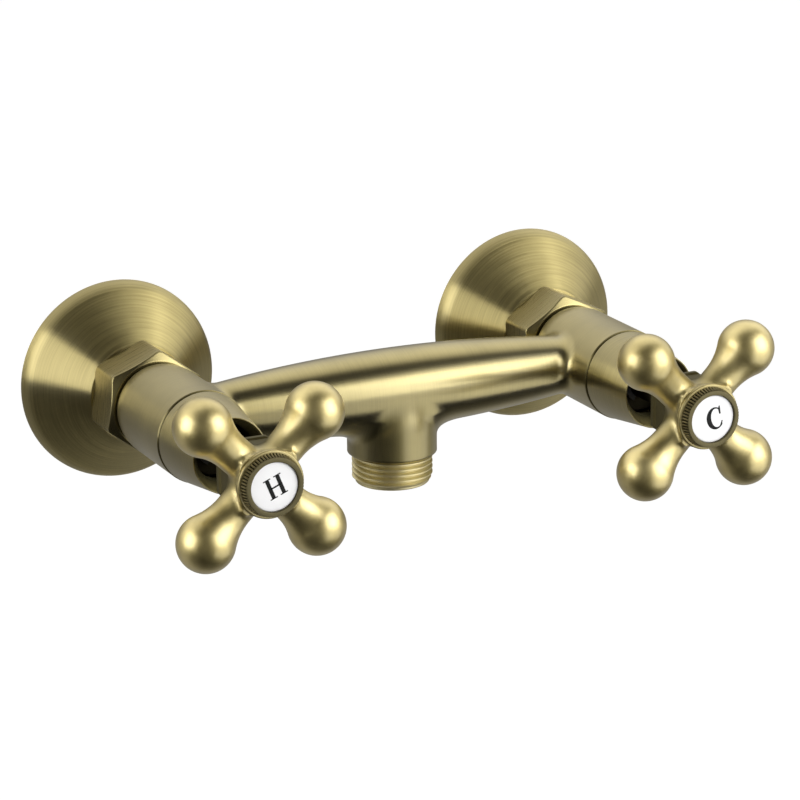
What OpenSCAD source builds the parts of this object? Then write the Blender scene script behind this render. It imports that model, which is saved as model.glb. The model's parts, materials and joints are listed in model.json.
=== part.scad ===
// Exposed two-handle shower mixer for wall mounting.
// Two supply connectors come out of the wall through cone flanges. Union nuts
// hold one brass casting to them. The casting carries a ceramic headwork with
// a cross handle on each side and a threaded shower outlet underneath.
//
// Frame: millimetres, +Z up, +X towards the cold side, -Y towards the user.
// The origin is midway between the two supply threads, on the finished wall.

/* [Wall connector] */
// Distance between the two inlet axes of the mixer
inlet_spacing = 150; // [140:1:170]
// Outside diameter of the thread that goes into the wall
wall_thread_d = 20.96; // [19:0.02:24]
// Length of the thread that goes into the wall
wall_thread_len = 18; // [12:0.5:25]
// Sideways offset between the wall thread and the union thread
ecc_offset = 10; // [7:0.5:12]
// Outside diameter of the union thread
union_thread_d = 26.44; // [26:0.02:28]
// Diameter of both water ways of the connector
connector_bore_d = 14; // [12:0.5:16]
// Distance from the wall to the crank web that joins both ends
web_start = 1.5; // [1:0.5:3]
// Thickness of the crank web
web_thick = 7; // [6:0.5:9]
// Height of the web's shoulder above the wall thread
web_shoulder = 1.5; // [1:0.25:2]

/* [Wall flange] */
// Diameter of the flange at the wall
flange_d = 66.5; // [60:0.5:76]
// Depth of the flange from the wall to the nut
flange_depth = 19.4; // [17:0.2:26]
// Diameter of the flat front of the flange
flange_front_d = 32.6; // [31.2:0.2:36]
// Thickness of the flange's sheet
flange_wall = 1.2; // [0.8:0.1:2]
// Radius that turns the cone into the rim
flange_rim_r = 8; // [5:0.5:10]
// Clearance between the flange's hole and the union thread
flange_hole_gap = 0.2; // [0.1:0.05:0.5]

/* [Union nut] */
// Width across the flats of the union nut
nut_af = 31; // [30.4:0.2:34]
// Length of the union nut
nut_len = 16.5; // [15:0.5:20]
// Diameter of the flat ring on the nut's front
nut_face_d = 29.4; // [28:0.2:30]
// Diameter of the nut's back face, which cuts its corners a little
nut_back_d = 34.4; // [33.6:0.1:34.8]
// Chamfer angle of the nut's corners
nut_chamfer_angle = 30; // [20:1:40]
// Thickness of the lip that pulls on the tail's collar
nut_lip = 3.3; // [2.4:0.1:4]
// Clearance of the nut round the threads inside it
nut_gap = 0.06; // [0.04:0.01:0.1]
// Turn of the hot nut after tightening
hot_nut_turn = -7; // [-30:1:30]
// Turn of the cold nut after tightening
cold_nut_turn = 5; // [-30:1:30]

/* [Inlet tail] */
// Thickness of the flat gasket between connector and tail
gasket_t = 2; // [1.5:0.1:3]
// Clearance of the tail's collar inside the nut's thread
collar_clear = 0.52; // [0.3:0.02:0.8]
// Thickness of the tail's collar
tail_collar_t = 2.2; // [1.6:0.1:3]
// Diameter of the tail's neck inside the nut's lip
tail_neck_d = 19.6; // [18.6:0.1:20.2]
// Clearance between the nut's lip and the thread that passes through it
lip_gap = 0.3; // [0.2:0.05:0.5]
// Outside diameter of the tail's thread in the casting
tail_thread_d = 20.96; // [20.4:0.02:22]
// Length of the tail's thread in the casting
tail_thread_len = 6.6; // [5:0.2:7]
// Diameter of the tail's water way
tail_bore_d = 12; // [10:0.5:13]
// Width across the flats of the key socket in the tail
tail_key_af = 13; // [13:0.5:14]
// Depth of the key socket in the tail
tail_key_depth = 5; // [3:0.5:6]

/* [Body casting] */
// Gap between the nut and the casting
casting_gap = 1.1; // [0.6:0.1:2]
// Diameter of each branch
branch_d = 30.2; // [29:0.2:33]
// Length of each branch
branch_len = 37.5; // [36:0.5:42]
// Diameter of the branch's rear edge
rear_edge_d = 28.1; // [27:0.1:28.8]
// Length of the rounded shoulder behind the branch
shoulder_len = 6.6; // [4:0.2:9]
// Chamfer at the branch's front edge
front_chamfer = 0.45; // [0.2:0.05:0.8]
// Distance from the branch's rear edge to the bridge axis
bridge_out = 15.8; // [15:0.2:18]
// Diameter of the bridge at its middle
bridge_mid_d = 26.7; // [24:0.1:29]
// Diameter of the bridge where it meets the branches
bridge_end_d = 19.6; // [17:0.1:22]
// Radius of the fillet between the bridge and a branch
bridge_fillet_r = 17; // [14:1:24]
// Diameter of the water way through the bridge
bridge_bore_d = 12; // [10:0.5:13]
// Diameter of the outlet boss
boss_d = 29.4; // [28:0.2:32]
// Distance from the bridge axis down to the boss face
boss_drop = 21; // [19:0.5:25]
// Reach of the fillet from the boss along the bridge
boss_fillet_r = 9; // [5:0.5:11]
// Straight height of the boss below the fillet
boss_straight = 3.6; // [2:0.2:5]
// Depth to which the fillet's edge runs into the bridge
boss_sink = 0.25; // [0.15:0.05:0.5]
// Thickness of the valve seat wall
seat_wall = 2; // [1.5:0.1:3]
// Diameter of the hole in the valve seat
seat_hole_d = 12; // [10:0.5:13]
// Diameter of the valve chamber
chamber_d = 23; // [21.4:0.1:24]
// Depth of the counterbore that takes the headwork's collar
collar_seat_depth = 4.8; // [4:0.1:6]

/* [Shower outlet] */
// Outside diameter of the hose thread
outlet_thread_d = 26.44; // [26:0.02:28]
// Visible length of the hose thread
outlet_thread_len = 10.2; // [8:0.2:14]
// Diameter of the nipple's shank inside the boss
outlet_shank_d = 20; // [18:0.1:22]
// Length of the nipple's shank
outlet_shank_len = 8; // [6:0.2:8.4]
// Diameter of the nipple's water way
outlet_bore_d = 14; // [11:0.5:15]
// Width across the flats of the nipple's key socket
outlet_key_af = 15; // [15:0.5:17]
// Depth of the nipple's key socket
outlet_key_depth = 6; // [4:0.5:8]
// Chamfer at the nipple's lower end
outlet_chamfer = 0.9; // [0.4:0.1:1.4]

/* [Headwork] */
// Outside diameter of the headwork's thread
headwork_thread_d = 20.96; // [20.6:0.02:21.4]
// Length of the headwork's thread in the casting
headwork_thread_len = 9; // [7:0.5:10]
// Radial clearance of a thread in its tapped hole
thread_gap = 0.05; // [0.02:0.01:0.08]
// Diameter of the headwork's nose
nose_d = 18.4; // [18.2:0.05:18.6]
// Distance that the nose stays off the valve seat
nose_gap = 0.8; // [0.5:0.1:1]
// Diameter of the headwork's collar
collar_d = 24.4; // [24.1:0.1:25]
// Thickness of the washer under the collar
washer_t = 1.6; // [1:0.1:2]
// Height of the headwork's hexagon
hex_len = 5.2; // [4:0.2:6]
// Width across the flats of the headwork's hexagon
hex_af = 22; // [20:0.5:22]
// Diameter of the thread that carries the sleeve
sleeve_thread_d = 18; // [17:0.1:18.4]
// Length of the thread that carries the sleeve
sleeve_thread_len = 4.5; // [3:0.5:6]
// Diameter of the disc chamber inside the nose
disc_chamber_d = 16; // [15.6:0.1:16.2]
// Height of each of the four side windows
window_len = 4.6; // [3:0.2:5.4]
// Width of each of the four side windows
window_w = 8; // [6:0.5:9]

/* [Discs and spindle] */
// Thickness of the rubber seat seal
seat_seal_t = 3; // [2:0.1:4]
// Inner diameter of the rubber seat seal
seat_seal_bore_d = 10; // [8:0.5:11]
// Thickness of each ceramic disc
disc_t = 3.4; // [3:0.1:4]
// Radial clearance of the discs in their chamber
disc_gap = 0.1; // [0.05:0.01:0.2]
// Running clearance between turning faces
run_gap = 0.1; // [0.05:0.01:0.2]
// Radius of the half-moon port and half width of the moving disc's slot
port_r = 5; // [4:0.1:5.4]
// Distance of the port and the slot from the disc's diameter
port_edge = 0.9; // [0.5:0.1:1.5]
// Width of the drive lugs and locking ribs
lug_w = 2.6; // [2:0.1:3]
// Radial depth of the drive lugs and locking ribs
lug_depth = 1.4; // [1:0.1:1.6]
// Clearance round a lug or rib in its notch
lug_gap = 0.1; // [0.05:0.01:0.2]
// Thickness of the spindle's drive flange
driver_t = 2.9; // [2:0.1:4]
// Diameter of the headwork's bore for the spindle
spindle_bore_d = 10.1; // [9.8:0.1:10.4]
// Radial clearance of the spindle in its bore
spindle_gap = 0.05; // [0.03:0.01:0.08]
// Diameter of the spindle's shank
shank_d = 9; // [8.6:0.1:9.4]
// Diameter of the spindle's splined end
spline_d = 8; // [7:0.1:8.4]
// Length of the spindle's splined end
spline_len = 15.6; // [12:0.2:16]
// Section diameter of the spindle's O-rings
oring_d = 1.4; // [1.2:0.1:1.6]
// Distance from the drive flange to the first O-ring
oring_start = 6; // [4:0.5:8]
// Distance between the two O-rings
oring_step = 6; // [4:0.5:8]
// Outer diameter of the retaining clip
clip_d = 12.4; // [11.6:0.1:13]
// Thickness of the retaining clip
clip_t = 0.9; // [0.7:0.1:1.2]
// Depth of the clip's groove
clip_groove = 0.4; // [0.2:0.05:0.6]
// Opening angle of the retaining clip
clip_opening = 60; // [30:5:90]

/* [Sleeve] */
// Diameter of the sleeve at the casting
sleeve_rear_d = 29.7; // [28:0.1:32]
// Diameter of the sleeve at its mouth
sleeve_front_d = 24.4; // [23:0.1:27]
// Length of the sleeve
sleeve_len = 21.6; // [19:0.2:26]
// Width of the seam between the casting and the sleeve
seam_gap = 0.2; // [0.1:0.05:0.5]
// Chamfer at the sleeve's rear edge
sleeve_chamfer = 0.4; // [0.2:0.05:0.8]
// Diameter of the opening at the bottom of the mouth's chamfer
mouth_d = 18.7; // [18.5:0.1:19.4]
// Depth of the mouth's chamfer
mouth_depth = 4.6; // [2:0.2:6]
// Width of the flat ring round the mouth
mouth_lip = 0.35; // [0.2:0.05:0.6]
// Clearance between the headwork's hexagon and the sleeve
hex_gap = 0.3; // [0.2:0.05:0.4]

/* [Cross handle] */
// Distance from the sleeve's mouth to the back of the hub
hub_gap = 9.8; // [6:0.2:12]
// Length of the hub
hub_len = 21.6; // [21:0.2:26]
// Width across the hub's flat sides
hub_w = 17.4; // [16:0.2:19]
// Diameter across the hub's rounded corners
hub_corner_d = 22.8; // [21:0.2:24]
// Chamfer along the hub's rear edges
hub_chamfer = 0.5; // [0.3:0.1:1.2]
// Length of the rim at the back of the hub
hub_rim_len = 1.8; // [1.4:0.1:3]
// Depth of the flat panels between the hub's arms
hub_panel_depth = 0.5; // [0.3:0.1:0.8]
// Distance from the back of the hub to the plane of the arms
arm_out = 13.4; // [13:0.2:16]
// Distance from the handle's axis to the centre of an arm's knob
arm_reach = 25.6; // [24:0.2:30]
// Radius of an arm's knob
arm_knob_r = 9.1; // [8:0.1:9.6]
// Radius of an arm's neck
arm_neck_r = 5.8; // [5:0.1:6.2]
// Distance from the handle's axis to an arm's neck
arm_neck_reach = 12.5; // [11:0.1:13.5]
// Diameter of the lip round the index ring
hub_lip_d = 21.4; // [20.6:0.1:22.4]
// Height of the lip round the index ring
hub_lip_t = 1.8; // [1:0.1:3]
// Length of the cone behind that lip
hub_lip_cone = 1.9; // [1:0.1:3]
// Clearance of the spindle in the handle's socket
socket_gap = 0.05; // [0.03:0.01:0.1]
// Thickness of the web that the handle screw clamps
hub_web = 3.3; // [2.4:0.1:4]
// Diameter of the front recess
recess_d = 14.4; // [13:0.1:15]
// Depth of the front recess
recess_depth = 10; // [9.6:0.1:11]
// Diameter of the handle screw
screw_d = 4; // [3:0.1:4.4]
// Length of the handle screw under its head
screw_len = 12; // [10:0.5:13]
// Diameter of the handle screw's head
screw_head_d = 7.6; // [6.6:0.1:8.4]
// Height of the handle screw's head
screw_head_h = 2.6; // [2:0.1:3.2]
// Clearance of the handle screw in its holes
screw_gap = 0.05; // [0.03:0.01:0.1]
// Width across the flats of the screw's key socket
screw_key_af = 2.5; // [2:0.5:3]

/* [Index] */
// Diameter of the index ring at the hub
ring_rear_d = 20.2; // [19:0.1:20.5]
// Diameter of the index ring at its front
ring_front_d = 18.9; // [18:0.1:19.8]
// Height of the index ring above the hub
ring_h = 3; // [2.4:0.1:4]
// Length of the ring's spigot in the recess
spigot_len = 5; // [3:0.1:6]
// Clearance of the spigot in the recess
spigot_gap = 0.05; // [0.03:0.01:0.1]
// Wall of the ring's spigot
spigot_wall = 1.5; // [1:0.1:2]
// Thickness of the ring's floor behind the disc
ring_floor = 1; // [0.8:0.1:1.4]
// Diameter of the index disc
index_d = 14.8; // [14:0.1:16]
// Thickness of the index disc
index_t = 1.3; // [0.8:0.1:1.4]
// Clearance round the index disc
index_gap = 0.05; // [0.03:0.01:0.1]

/* [Hidden] */
$fn = 72;
// Overshoot of a cut past the face that it opens
cut = 1;
// Steps in a profile's arc
arc_steps = 8;

hot = -1;
cold = 1;

// Places along the inlet axis, as distances from the finished wall
nut_rear = flange_depth;
nut_front = nut_rear + nut_len;
lip_rear = nut_front - nut_lip;
tail_rear = lip_rear - tail_collar_t;
connector_front = tail_rear - gasket_t;
casting_rear = nut_front + casting_gap;
casting_front = casting_rear + branch_len;
bridge_at = casting_rear + bridge_out;
seat_at = casting_rear + tail_thread_len + seat_wall;
washer_at = casting_front - collar_seat_depth;
collar_at = washer_at + washer_t;
nose_rear = seat_at + nose_gap;
fixed_disc_at = seat_at + seat_seal_t;
moving_disc_at = fixed_disc_at + disc_t + run_gap;
driver_at = moving_disc_at + disc_t + run_gap;
thrust_at = driver_at + driver_t + run_gap;
thread_rear = washer_at - headwork_thread_len;
hex_at = casting_front + seam_gap;
sleeve_thread_at = hex_at + hex_len;
headwork_front = sleeve_thread_at + sleeve_thread_len;
clip_at = headwork_front + run_gap;
sleeve_at = casting_front + seam_gap;
mouth_at = sleeve_at + sleeve_len;
hub_rear = mouth_at + hub_gap;
hub_front = hub_rear + hub_len;
arm_at = hub_rear + arm_out;
web_front = hub_front - recess_depth;
web_rear = web_front - hub_web;
spline_rear = web_rear - spline_len;
ring_front = hub_front + ring_h;
index_at = hub_front + ring_floor;

// Radii that several pieces share
tail_collar_d = union_thread_d - 2 * collar_clear;
nut_bore_r = union_thread_d / 2 + nut_gap;
lip_hole_r = tail_thread_d / 2 + lip_gap;
journal_r = spindle_bore_d / 2 - spindle_gap;
disc_r = disc_chamber_d / 2 - disc_gap;
hex_r = hex_af / 2 / cos(30);
sleeve_cavity_r = hex_r + hex_gap;
groove_r = journal_r - oring_d;

// ---------- helpers ----------

// Puts a piece on one inlet axis: its z is the distance from the wall,
// its x points towards the cold side and its y points up
module on_axis(side) {
    translate([side * inlet_spacing / 2, 0, ecc_offset])
        rotate([90, 0, 0])
            children();
}

// A bar from one distance to another, with its radius
module bar(from, to, r) {
    translate([0, 0, from])
        cylinder(r = r, h = to - from);
}

// A plain ring
module ring(from, to, r_in, r_out) {
    difference() {
        bar(from, to, r_out);
        bar(from - cut, to + cut, r_in);
    }
}

// A hexagonal bar, given across its flats
module hex_bar(from, to, af) {
    translate([0, 0, from])
        cylinder(r = af / 2 / cos(30), h = to - from, $fn = 6);
}

// A cone between two distances
module taper(from, to, r_from, r_to) {
    translate([0, 0, from])
        cylinder(r1 = r_from, r2 = r_to, h = to - from);
}

// Points of an arc round a centre, from one angle to another
function arc(cx, cy, r, from, to, steps) =
    [for (i = [0 : steps])
        let (a = from + (to - from) * i / steps)
        [cx + r * cos(a), cy + r * sin(a)]];

// ---------- wall side ----------

// Crank web between the two ends of the connector
module crank_web(web_end) {
    end_r = wall_thread_d / 2 + web_shoulder;
    side_x = end_r - web_shoulder / 2;
    translate([0, -ecc_offset, 0])
        bar(web_start, web_end, end_r);
    translate([-side_x, -ecc_offset, web_start])
        cube([2 * side_x, ecc_offset, web_end - web_start]);
}

module wall_connector(side) {
    bore_r = connector_bore_d / 2;
    web_end = web_start + web_thick;
    color("darkkhaki")
        on_axis(side)
            difference() {
                union() {
                    translate([0, -ecc_offset, 0])
                        bar(-wall_thread_len, web_start, wall_thread_d / 2);
                    crank_web(web_end);
                    bar(web_start, connector_front, union_thread_d / 2);
                }
                translate([0, -ecc_offset, 0])
                    bar(-wall_thread_len - cut, web_end - bore_r / 2, bore_r);
                bar(web_start + bore_r / 4, connector_front + cut, bore_r);
            }
}

// Angle at which the flange's cone leaves the rim's arc, for an arc radius
// and a point [radius, distance] on the cone
function rim_angle(rim_r, front_r, front_at) =
    let (
        dx = front_r - (flange_d / 2 - flange_rim_r),
        dy = front_at,
        span = norm([dx, dy])
    )
    atan2(dy, dx) - acos(rim_r / span);

// One skin of the flange: rim, cone and flat front
function flange_skin(inset, front_r, front_at) =
    let (rim_r = flange_rim_r - inset)
    concat(
        arc(flange_d / 2 - flange_rim_r, 0, rim_r, 0,
            rim_angle(rim_r, front_r, front_at), arc_steps),
        [[front_r, front_at]]
    );

module wall_flange(side) {
    hole_r = union_thread_d / 2 + flange_hole_gap;
    outer = flange_skin(0, flange_front_d / 2, flange_depth);
    inner = flange_skin(flange_wall, flange_front_d / 2 - flange_wall / 2, flange_depth - flange_wall);
    color("darkkhaki")
        on_axis(side)
            rotate_extrude()
                polygon(concat(
                    outer,
                    [[hole_r, flange_depth], [hole_r, flange_depth - flange_wall]],
                    [for (i = [len(inner) - 1 : -1 : 0]) inner[i]]
                ));
}

// Solid that trims the nut's corners at both ends
module nut_envelope() {
    corner_r = nut_af / 2 / cos(30) + cut;
    slope = tan(nut_chamfer_angle);
    front_rise = (corner_r - nut_face_d / 2) * slope;
    rear_rise = (corner_r - nut_back_d / 2) * slope;
    rotate_extrude()
        polygon([
            [0, nut_rear],
            [nut_back_d / 2, nut_rear],
            [corner_r, nut_rear + rear_rise],
            [corner_r, nut_front - front_rise],
            [nut_face_d / 2, nut_front],
            [0, nut_front]
        ]);
}

module union_nut(side, turn) {
    color("darkkhaki")
        on_axis(side)
            difference() {
                intersection() {
                    rotate([0, 0, 90 + turn])
                        hex_bar(nut_rear, nut_front, nut_af);
                    nut_envelope();
                }
                bar(nut_rear - cut, lip_rear, nut_bore_r);
                bar(nut_rear, nut_front + cut, lip_hole_r);
            }
}

module inlet_gasket(side) {
    color("dimgray")
        on_axis(side)
            ring(connector_front, tail_rear, tail_bore_d / 2 + gasket_t / 2, tail_collar_d / 2);
}

module inlet_tail(side) {
    thread_r = tail_thread_d / 2 - thread_gap;
    thread_front = casting_rear + tail_thread_len;
    color("goldenrod")
        on_axis(side)
            difference() {
                union() {
                    bar(tail_rear, lip_rear, tail_collar_d / 2);
                    bar(lip_rear, casting_rear, tail_neck_d / 2);
                    bar(casting_rear, thread_front, thread_r);
                }
                bar(tail_rear, thread_front + cut, tail_bore_d / 2);
                hex_bar(tail_rear - cut, tail_rear + tail_key_depth, tail_key_af);
            }
}

// ---------- body casting ----------

// Radius of the bowed bridge at a distance from its middle
function bridge_r(x) =
    let (
        half = inlet_spacing / 2 - branch_d / 2,
        rise = (bridge_mid_d - bridge_end_d) / 2,
        bow = (half * half + rise * rise) / (2 * rise),
        fillet_from = half - bridge_fillet_r / 6,
        t = max(0, abs(x) - fillet_from)
    )
    bridge_mid_d / 2 - bow + sqrt(bow * bow - min(abs(x), half) * min(abs(x), half))
        + bridge_fillet_r - sqrt(bridge_fillet_r * bridge_fillet_r - t * t);

// Half length of the bridge, up to where its fillet dies in the branch
function bridge_half() = inlet_spacing / 2 - branch_d / 2 + bridge_fillet_r / 3;

module bridge() {
    half = bridge_half();
    steps = 3 * arc_steps;
    translate([0, -bridge_at, ecc_offset])
        rotate([0, 90, 0])
            rotate_extrude()
                polygon(concat(
                    [[0, -half]],
                    [for (i = [-steps : steps]) [bridge_r(half * i / steps), half * i / steps]],
                    [[0, half]]
                ));
}

// Contact of the boss fillet on the bridge, for a direction round the boss:
// it runs from the bridge's underside (0 degrees) to its side (90 degrees)
function contact(turn) =
    let (
        x = (boss_d / 2 + boss_fillet_r) * cos(turn),
        low = cos(turn) * cos(turn),
        wide = sign(sin(turn)) * sqrt(1 - low * low),
        r = bridge_r(x) - boss_sink
    )
    [x, r * wide, -r * low];

// Direction in which the fillet leaves over the bridge at that contact
function contact_slope(turn) =
    let (
        low = cos(turn) * cos(turn),
        up = sqrt(1 - low * low),
        way = [cos(turn), sin(turn) * low, abs(sin(turn)) * up]
    )
    way / norm(way);

// One point of the fillet, from the boss wall (t = 0) to the bridge (t = 1)
function fillet_point(turn, t) =
    let (
        from = [boss_d / 2 * cos(turn), boss_d / 2 * sin(turn), boss_straight - boss_drop],
        to = contact(turn),
        pull = 0.45 * norm(to - from),
        near = from + [0, 0, pull],
        far = to - pull * contact_slope(turn),
        u = 1 - t
    )
    u * u * u * from + 3 * u * u * t * near + 3 * u * t * t * far + t * t * t * to;

// The outlet boss: round at its face, then a fillet that dies in the bridge
module outlet_boss() {
    sides = 48;
    core = 0.7;
    turns = [for (i = [0 : sides - 1]) 360 * i / sides];
    face = [for (turn = turns) [boss_d / 2 * cos(turn), boss_d / 2 * sin(turn), -boss_drop]];
    fillet = [for (k = [0 : arc_steps]) each [for (turn = turns) fillet_point(turn, k / arc_steps)]];
    inside = [for (turn = turns) let (p = contact(turn)) [core * p.x, core * p.y, 0]];
    points = concat(face, fillet, inside);
    rows = arc_steps + 3;
    walls = [
        for (k = [0 : rows - 2])
            for (i = [0 : sides - 1])
                let (j = (i + 1) % sides)
                each [
                    [k * sides + i, (k + 1) * sides + i, (k + 1) * sides + j],
                    [k * sides + i, (k + 1) * sides + j, k * sides + j]
                ]
    ];
    bottom = [for (i = [0 : sides - 1]) i];
    top = [for (i = [sides - 1 : -1 : 0]) (rows - 1) * sides + i];
    translate([0, -bridge_at, ecc_offset])
        polyhedron(points, concat([bottom, top], walls));
}

// Outside of one branch with its rounded shoulder and chamfered front
module branch_skin() {
    rise = (branch_d - rear_edge_d) / 2;
    shoulder_r = (shoulder_len * shoulder_len + rise * rise) / (2 * rise);
    shoulder_angle = asin(shoulder_len / shoulder_r);
    rotate_extrude()
        polygon(concat(
            [[0, casting_front], [0, casting_rear]],
            arc(branch_d / 2 - shoulder_r, casting_rear + shoulder_len, shoulder_r,
                -shoulder_angle, 0, arc_steps),
            [
                [branch_d / 2, casting_front - front_chamfer],
                [branch_d / 2 - front_chamfer, casting_front]
            ]
        ));
}

// Water ways and seats inside one branch
module branch_cavity() {
    bar(casting_rear - cut, casting_rear + tail_thread_len, tail_thread_d / 2);
    bar(casting_rear, seat_at + cut, seat_hole_d / 2);
    bar(seat_at, thread_rear, chamber_d / 2);
    bar(thread_rear - cut, washer_at + cut, headwork_thread_d / 2);
    bar(washer_at, casting_front + cut, collar_d / 2 + lip_gap / 3);
}

module mixer_body() {
    color("darkkhaki")
        difference() {
            union() {
                bridge();
                outlet_boss();
                for (side = [hot, cold])
                    on_axis(side)
                        branch_skin();
            }
            for (side = [hot, cold])
                on_axis(side)
                    branch_cavity();
            translate([0, -bridge_at, ecc_offset])
                rotate([0, 90, 0])
                    cylinder(r = bridge_bore_d / 2, h = inlet_spacing, center = true);
            translate([0, -bridge_at, ecc_offset - boss_drop])
                bar(-cut, boss_drop, outlet_bore_d / 2);
            translate([0, -bridge_at, ecc_offset - boss_drop])
                bar(-cut, outlet_shank_len, outlet_shank_d / 2);
        }
}

module outlet_nipple() {
    thread_r = outlet_thread_d / 2;
    color("palegoldenrod")
        translate([0, -bridge_at, ecc_offset - boss_drop])
            difference() {
                union() {
                    bar(0, outlet_shank_len, outlet_shank_d / 2 - thread_gap);
                    bar(outlet_chamfer - outlet_thread_len, 0, thread_r);
                    taper(-outlet_thread_len, outlet_chamfer - outlet_thread_len,
                        thread_r - outlet_chamfer, thread_r);
                }
                bar(-outlet_thread_len - cut, outlet_shank_len + cut, outlet_bore_d / 2);
                hex_bar(-outlet_thread_len - cut, outlet_key_depth - outlet_thread_len, outlet_key_af);
            }
}

// ---------- headwork ----------

module headwork_body(side) {
    chamber_r = disc_chamber_d / 2;
    window_at = moving_disc_at + run_gap;
    color("silver")
        on_axis(side) {
            difference() {
                union() {
                    bar(nose_rear, thread_rear, nose_d / 2);
                    bar(thread_rear, collar_at, headwork_thread_d / 2 - thread_gap);
                    bar(collar_at, hex_at, collar_d / 2);
                    hex_bar(hex_at, sleeve_thread_at, hex_af);
                    bar(sleeve_thread_at, headwork_front, sleeve_thread_d / 2);
                }
                bar(nose_rear - cut, thrust_at, chamber_r);
                bar(thrust_at - cut, headwork_front + cut, spindle_bore_d / 2);
                for (turn = [0, 90])
                    translate([0, 0, window_at + window_len / 2])
                        rotate([0, 0, turn])
                            cube([nose_d + 2 * cut, window_w, window_len], center = true);
            }
            locking_ribs();
        }
}

// Two ribs in the nose that keep the fixed disc from turning
module locking_ribs() {
    chamber_r = disc_chamber_d / 2;
    nose_mid_r = (chamber_r + nose_d / 2) / 2;
    rib_rear = fixed_disc_at + lug_gap;
    rib_len = disc_t - 2 * lug_gap;
    intersection() {
        bar(rib_rear, rib_rear + rib_len, nose_mid_r);
        difference() {
            translate([0, 0, rib_rear + rib_len / 2])
                cube([nose_d, lug_w, rib_len], center = true);
            bar(nose_rear, thrust_at, chamber_r - lug_depth);
        }
    }
}

module headwork_washer(side) {
    color("dimgray")
        on_axis(side)
            ring(washer_at, collar_at, headwork_thread_d / 2, collar_d / 2);
}

module seat_seal(side) {
    color("dimgray")
        on_axis(side)
            ring(seat_at, fixed_disc_at, seat_seal_bore_d / 2, disc_r);
}

// Half-moon port of the fixed disc, above its diameter
module half_moon(from, to) {
    intersection() {
        bar(from - cut, to + cut, port_r);
        translate([-port_r, port_edge, from - cut])
            cube([2 * port_r, port_r, to - from + 2 * cut]);
    }
}

// Slot of the moving disc, below its diameter and open at the rim
module rim_slot(from, to) {
    translate([-port_r, -disc_chamber_d, from - cut])
        cube([2 * port_r, disc_chamber_d - port_edge, to - from + 2 * cut]);
}

// Two notches across a disc's rim for the lugs or ribs that fill them
module disc_notches(from, to) {
    notch_w = lug_w + 2 * lug_gap;
    notch_r = disc_chamber_d / 2 - lug_depth - lug_gap;
    difference() {
        translate([0, 0, (from + to) / 2])
            cube([disc_chamber_d + cut, notch_w, to - from + cut], center = true);
        bar(from - cut, to + cut, notch_r);
    }
}

module fixed_disc(side) {
    to = fixed_disc_at + disc_t;
    color("white")
        on_axis(side)
            difference() {
                bar(fixed_disc_at, to, disc_r);
                half_moon(fixed_disc_at, to);
                disc_notches(fixed_disc_at, to);
            }
}

module moving_disc(side) {
    to = moving_disc_at + disc_t;
    color("white")
        on_axis(side)
            difference() {
                bar(moving_disc_at, to, disc_r);
                rim_slot(moving_disc_at, to);
                disc_notches(moving_disc_at, to);
            }
}

// Two lugs on the drive flange that turn the moving disc
module drive_lugs() {
    lug_from = moving_disc_at + disc_t / 3;
    intersection() {
        bar(lug_from, driver_at + driver_t, disc_r);
        difference() {
            translate([0, 0, (lug_from + driver_at + driver_t) / 2])
                cube([disc_chamber_d, lug_w, driver_at + driver_t - lug_from], center = true);
            bar(moving_disc_at, driver_at, disc_chamber_d / 2 - lug_depth);
        }
    }
}

function oring_at(i) = driver_at + driver_t + oring_start + oring_step * i;

module spindle(side) {
    groove_w = oring_d * 1.3;
    clip_groove_w = clip_t + run_gap;
    color("goldenrod")
        on_axis(side)
            difference() {
                union() {
                    bar(driver_at, driver_at + driver_t, disc_r);
                    drive_lugs();
                    bar(driver_at, headwork_front, journal_r);
                    bar(headwork_front, spline_rear, shank_d / 2);
                    bar(spline_rear, web_rear, spline_d / 2);
                }
                for (i = [0, 1])
                    ring(oring_at(i) - groove_w / 2, oring_at(i) + groove_w / 2,
                        groove_r, journal_r + cut);
                ring(clip_at, clip_at + clip_groove_w, shank_d / 2 - clip_groove, shank_d);
                bar(web_front - screw_len - cut, web_rear + cut, screw_d / 2 + screw_gap);
            }
}

module spindle_orings(side) {
    color("black")
        on_axis(side)
            for (i = [0, 1])
                translate([0, 0, oring_at(i)])
                    rotate_extrude()
                        translate([groove_r + oring_d / 2, 0])
                            circle(r = oring_d / 2);
}

module retaining_clip(side) {
    reach = clip_d;
    half = clip_opening / 2;
    color("gainsboro")
        on_axis(side)
            difference() {
                ring(clip_at + run_gap / 2, clip_at + run_gap / 2 + clip_t,
                    shank_d / 2 - clip_groove + run_gap / 2, clip_d / 2);
                translate([0, 0, clip_at - cut])
                    linear_extrude(clip_t + run_gap + 2 * cut)
                        polygon([[0, 0], [reach * sin(half), -reach * cos(half)],
                            [-reach * sin(half), -reach * cos(half)]]);
            }
}

// ---------- sleeve ----------

module sleeve(side) {
    rear_r = sleeve_rear_d / 2;
    front_r = sleeve_front_d / 2;
    thread_r = sleeve_thread_d / 2 + thread_gap;
    mouth_rear = mouth_at - mouth_depth;
    color("darkkhaki")
        on_axis(side)
            rotate_extrude()
                polygon([
                    [sleeve_cavity_r, sleeve_at],
                    [rear_r - sleeve_chamfer, sleeve_at],
                    [rear_r, sleeve_at + sleeve_chamfer],
                    [front_r, mouth_at],
                    [front_r - mouth_lip, mouth_at],
                    [mouth_d / 2, mouth_rear],
                    [mouth_d / 2, headwork_front],
                    [thread_r, headwork_front],
                    [thread_r, sleeve_thread_at],
                    [sleeve_cavity_r, sleeve_thread_at]
                ]);
}

// ---------- cross handle ----------

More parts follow.
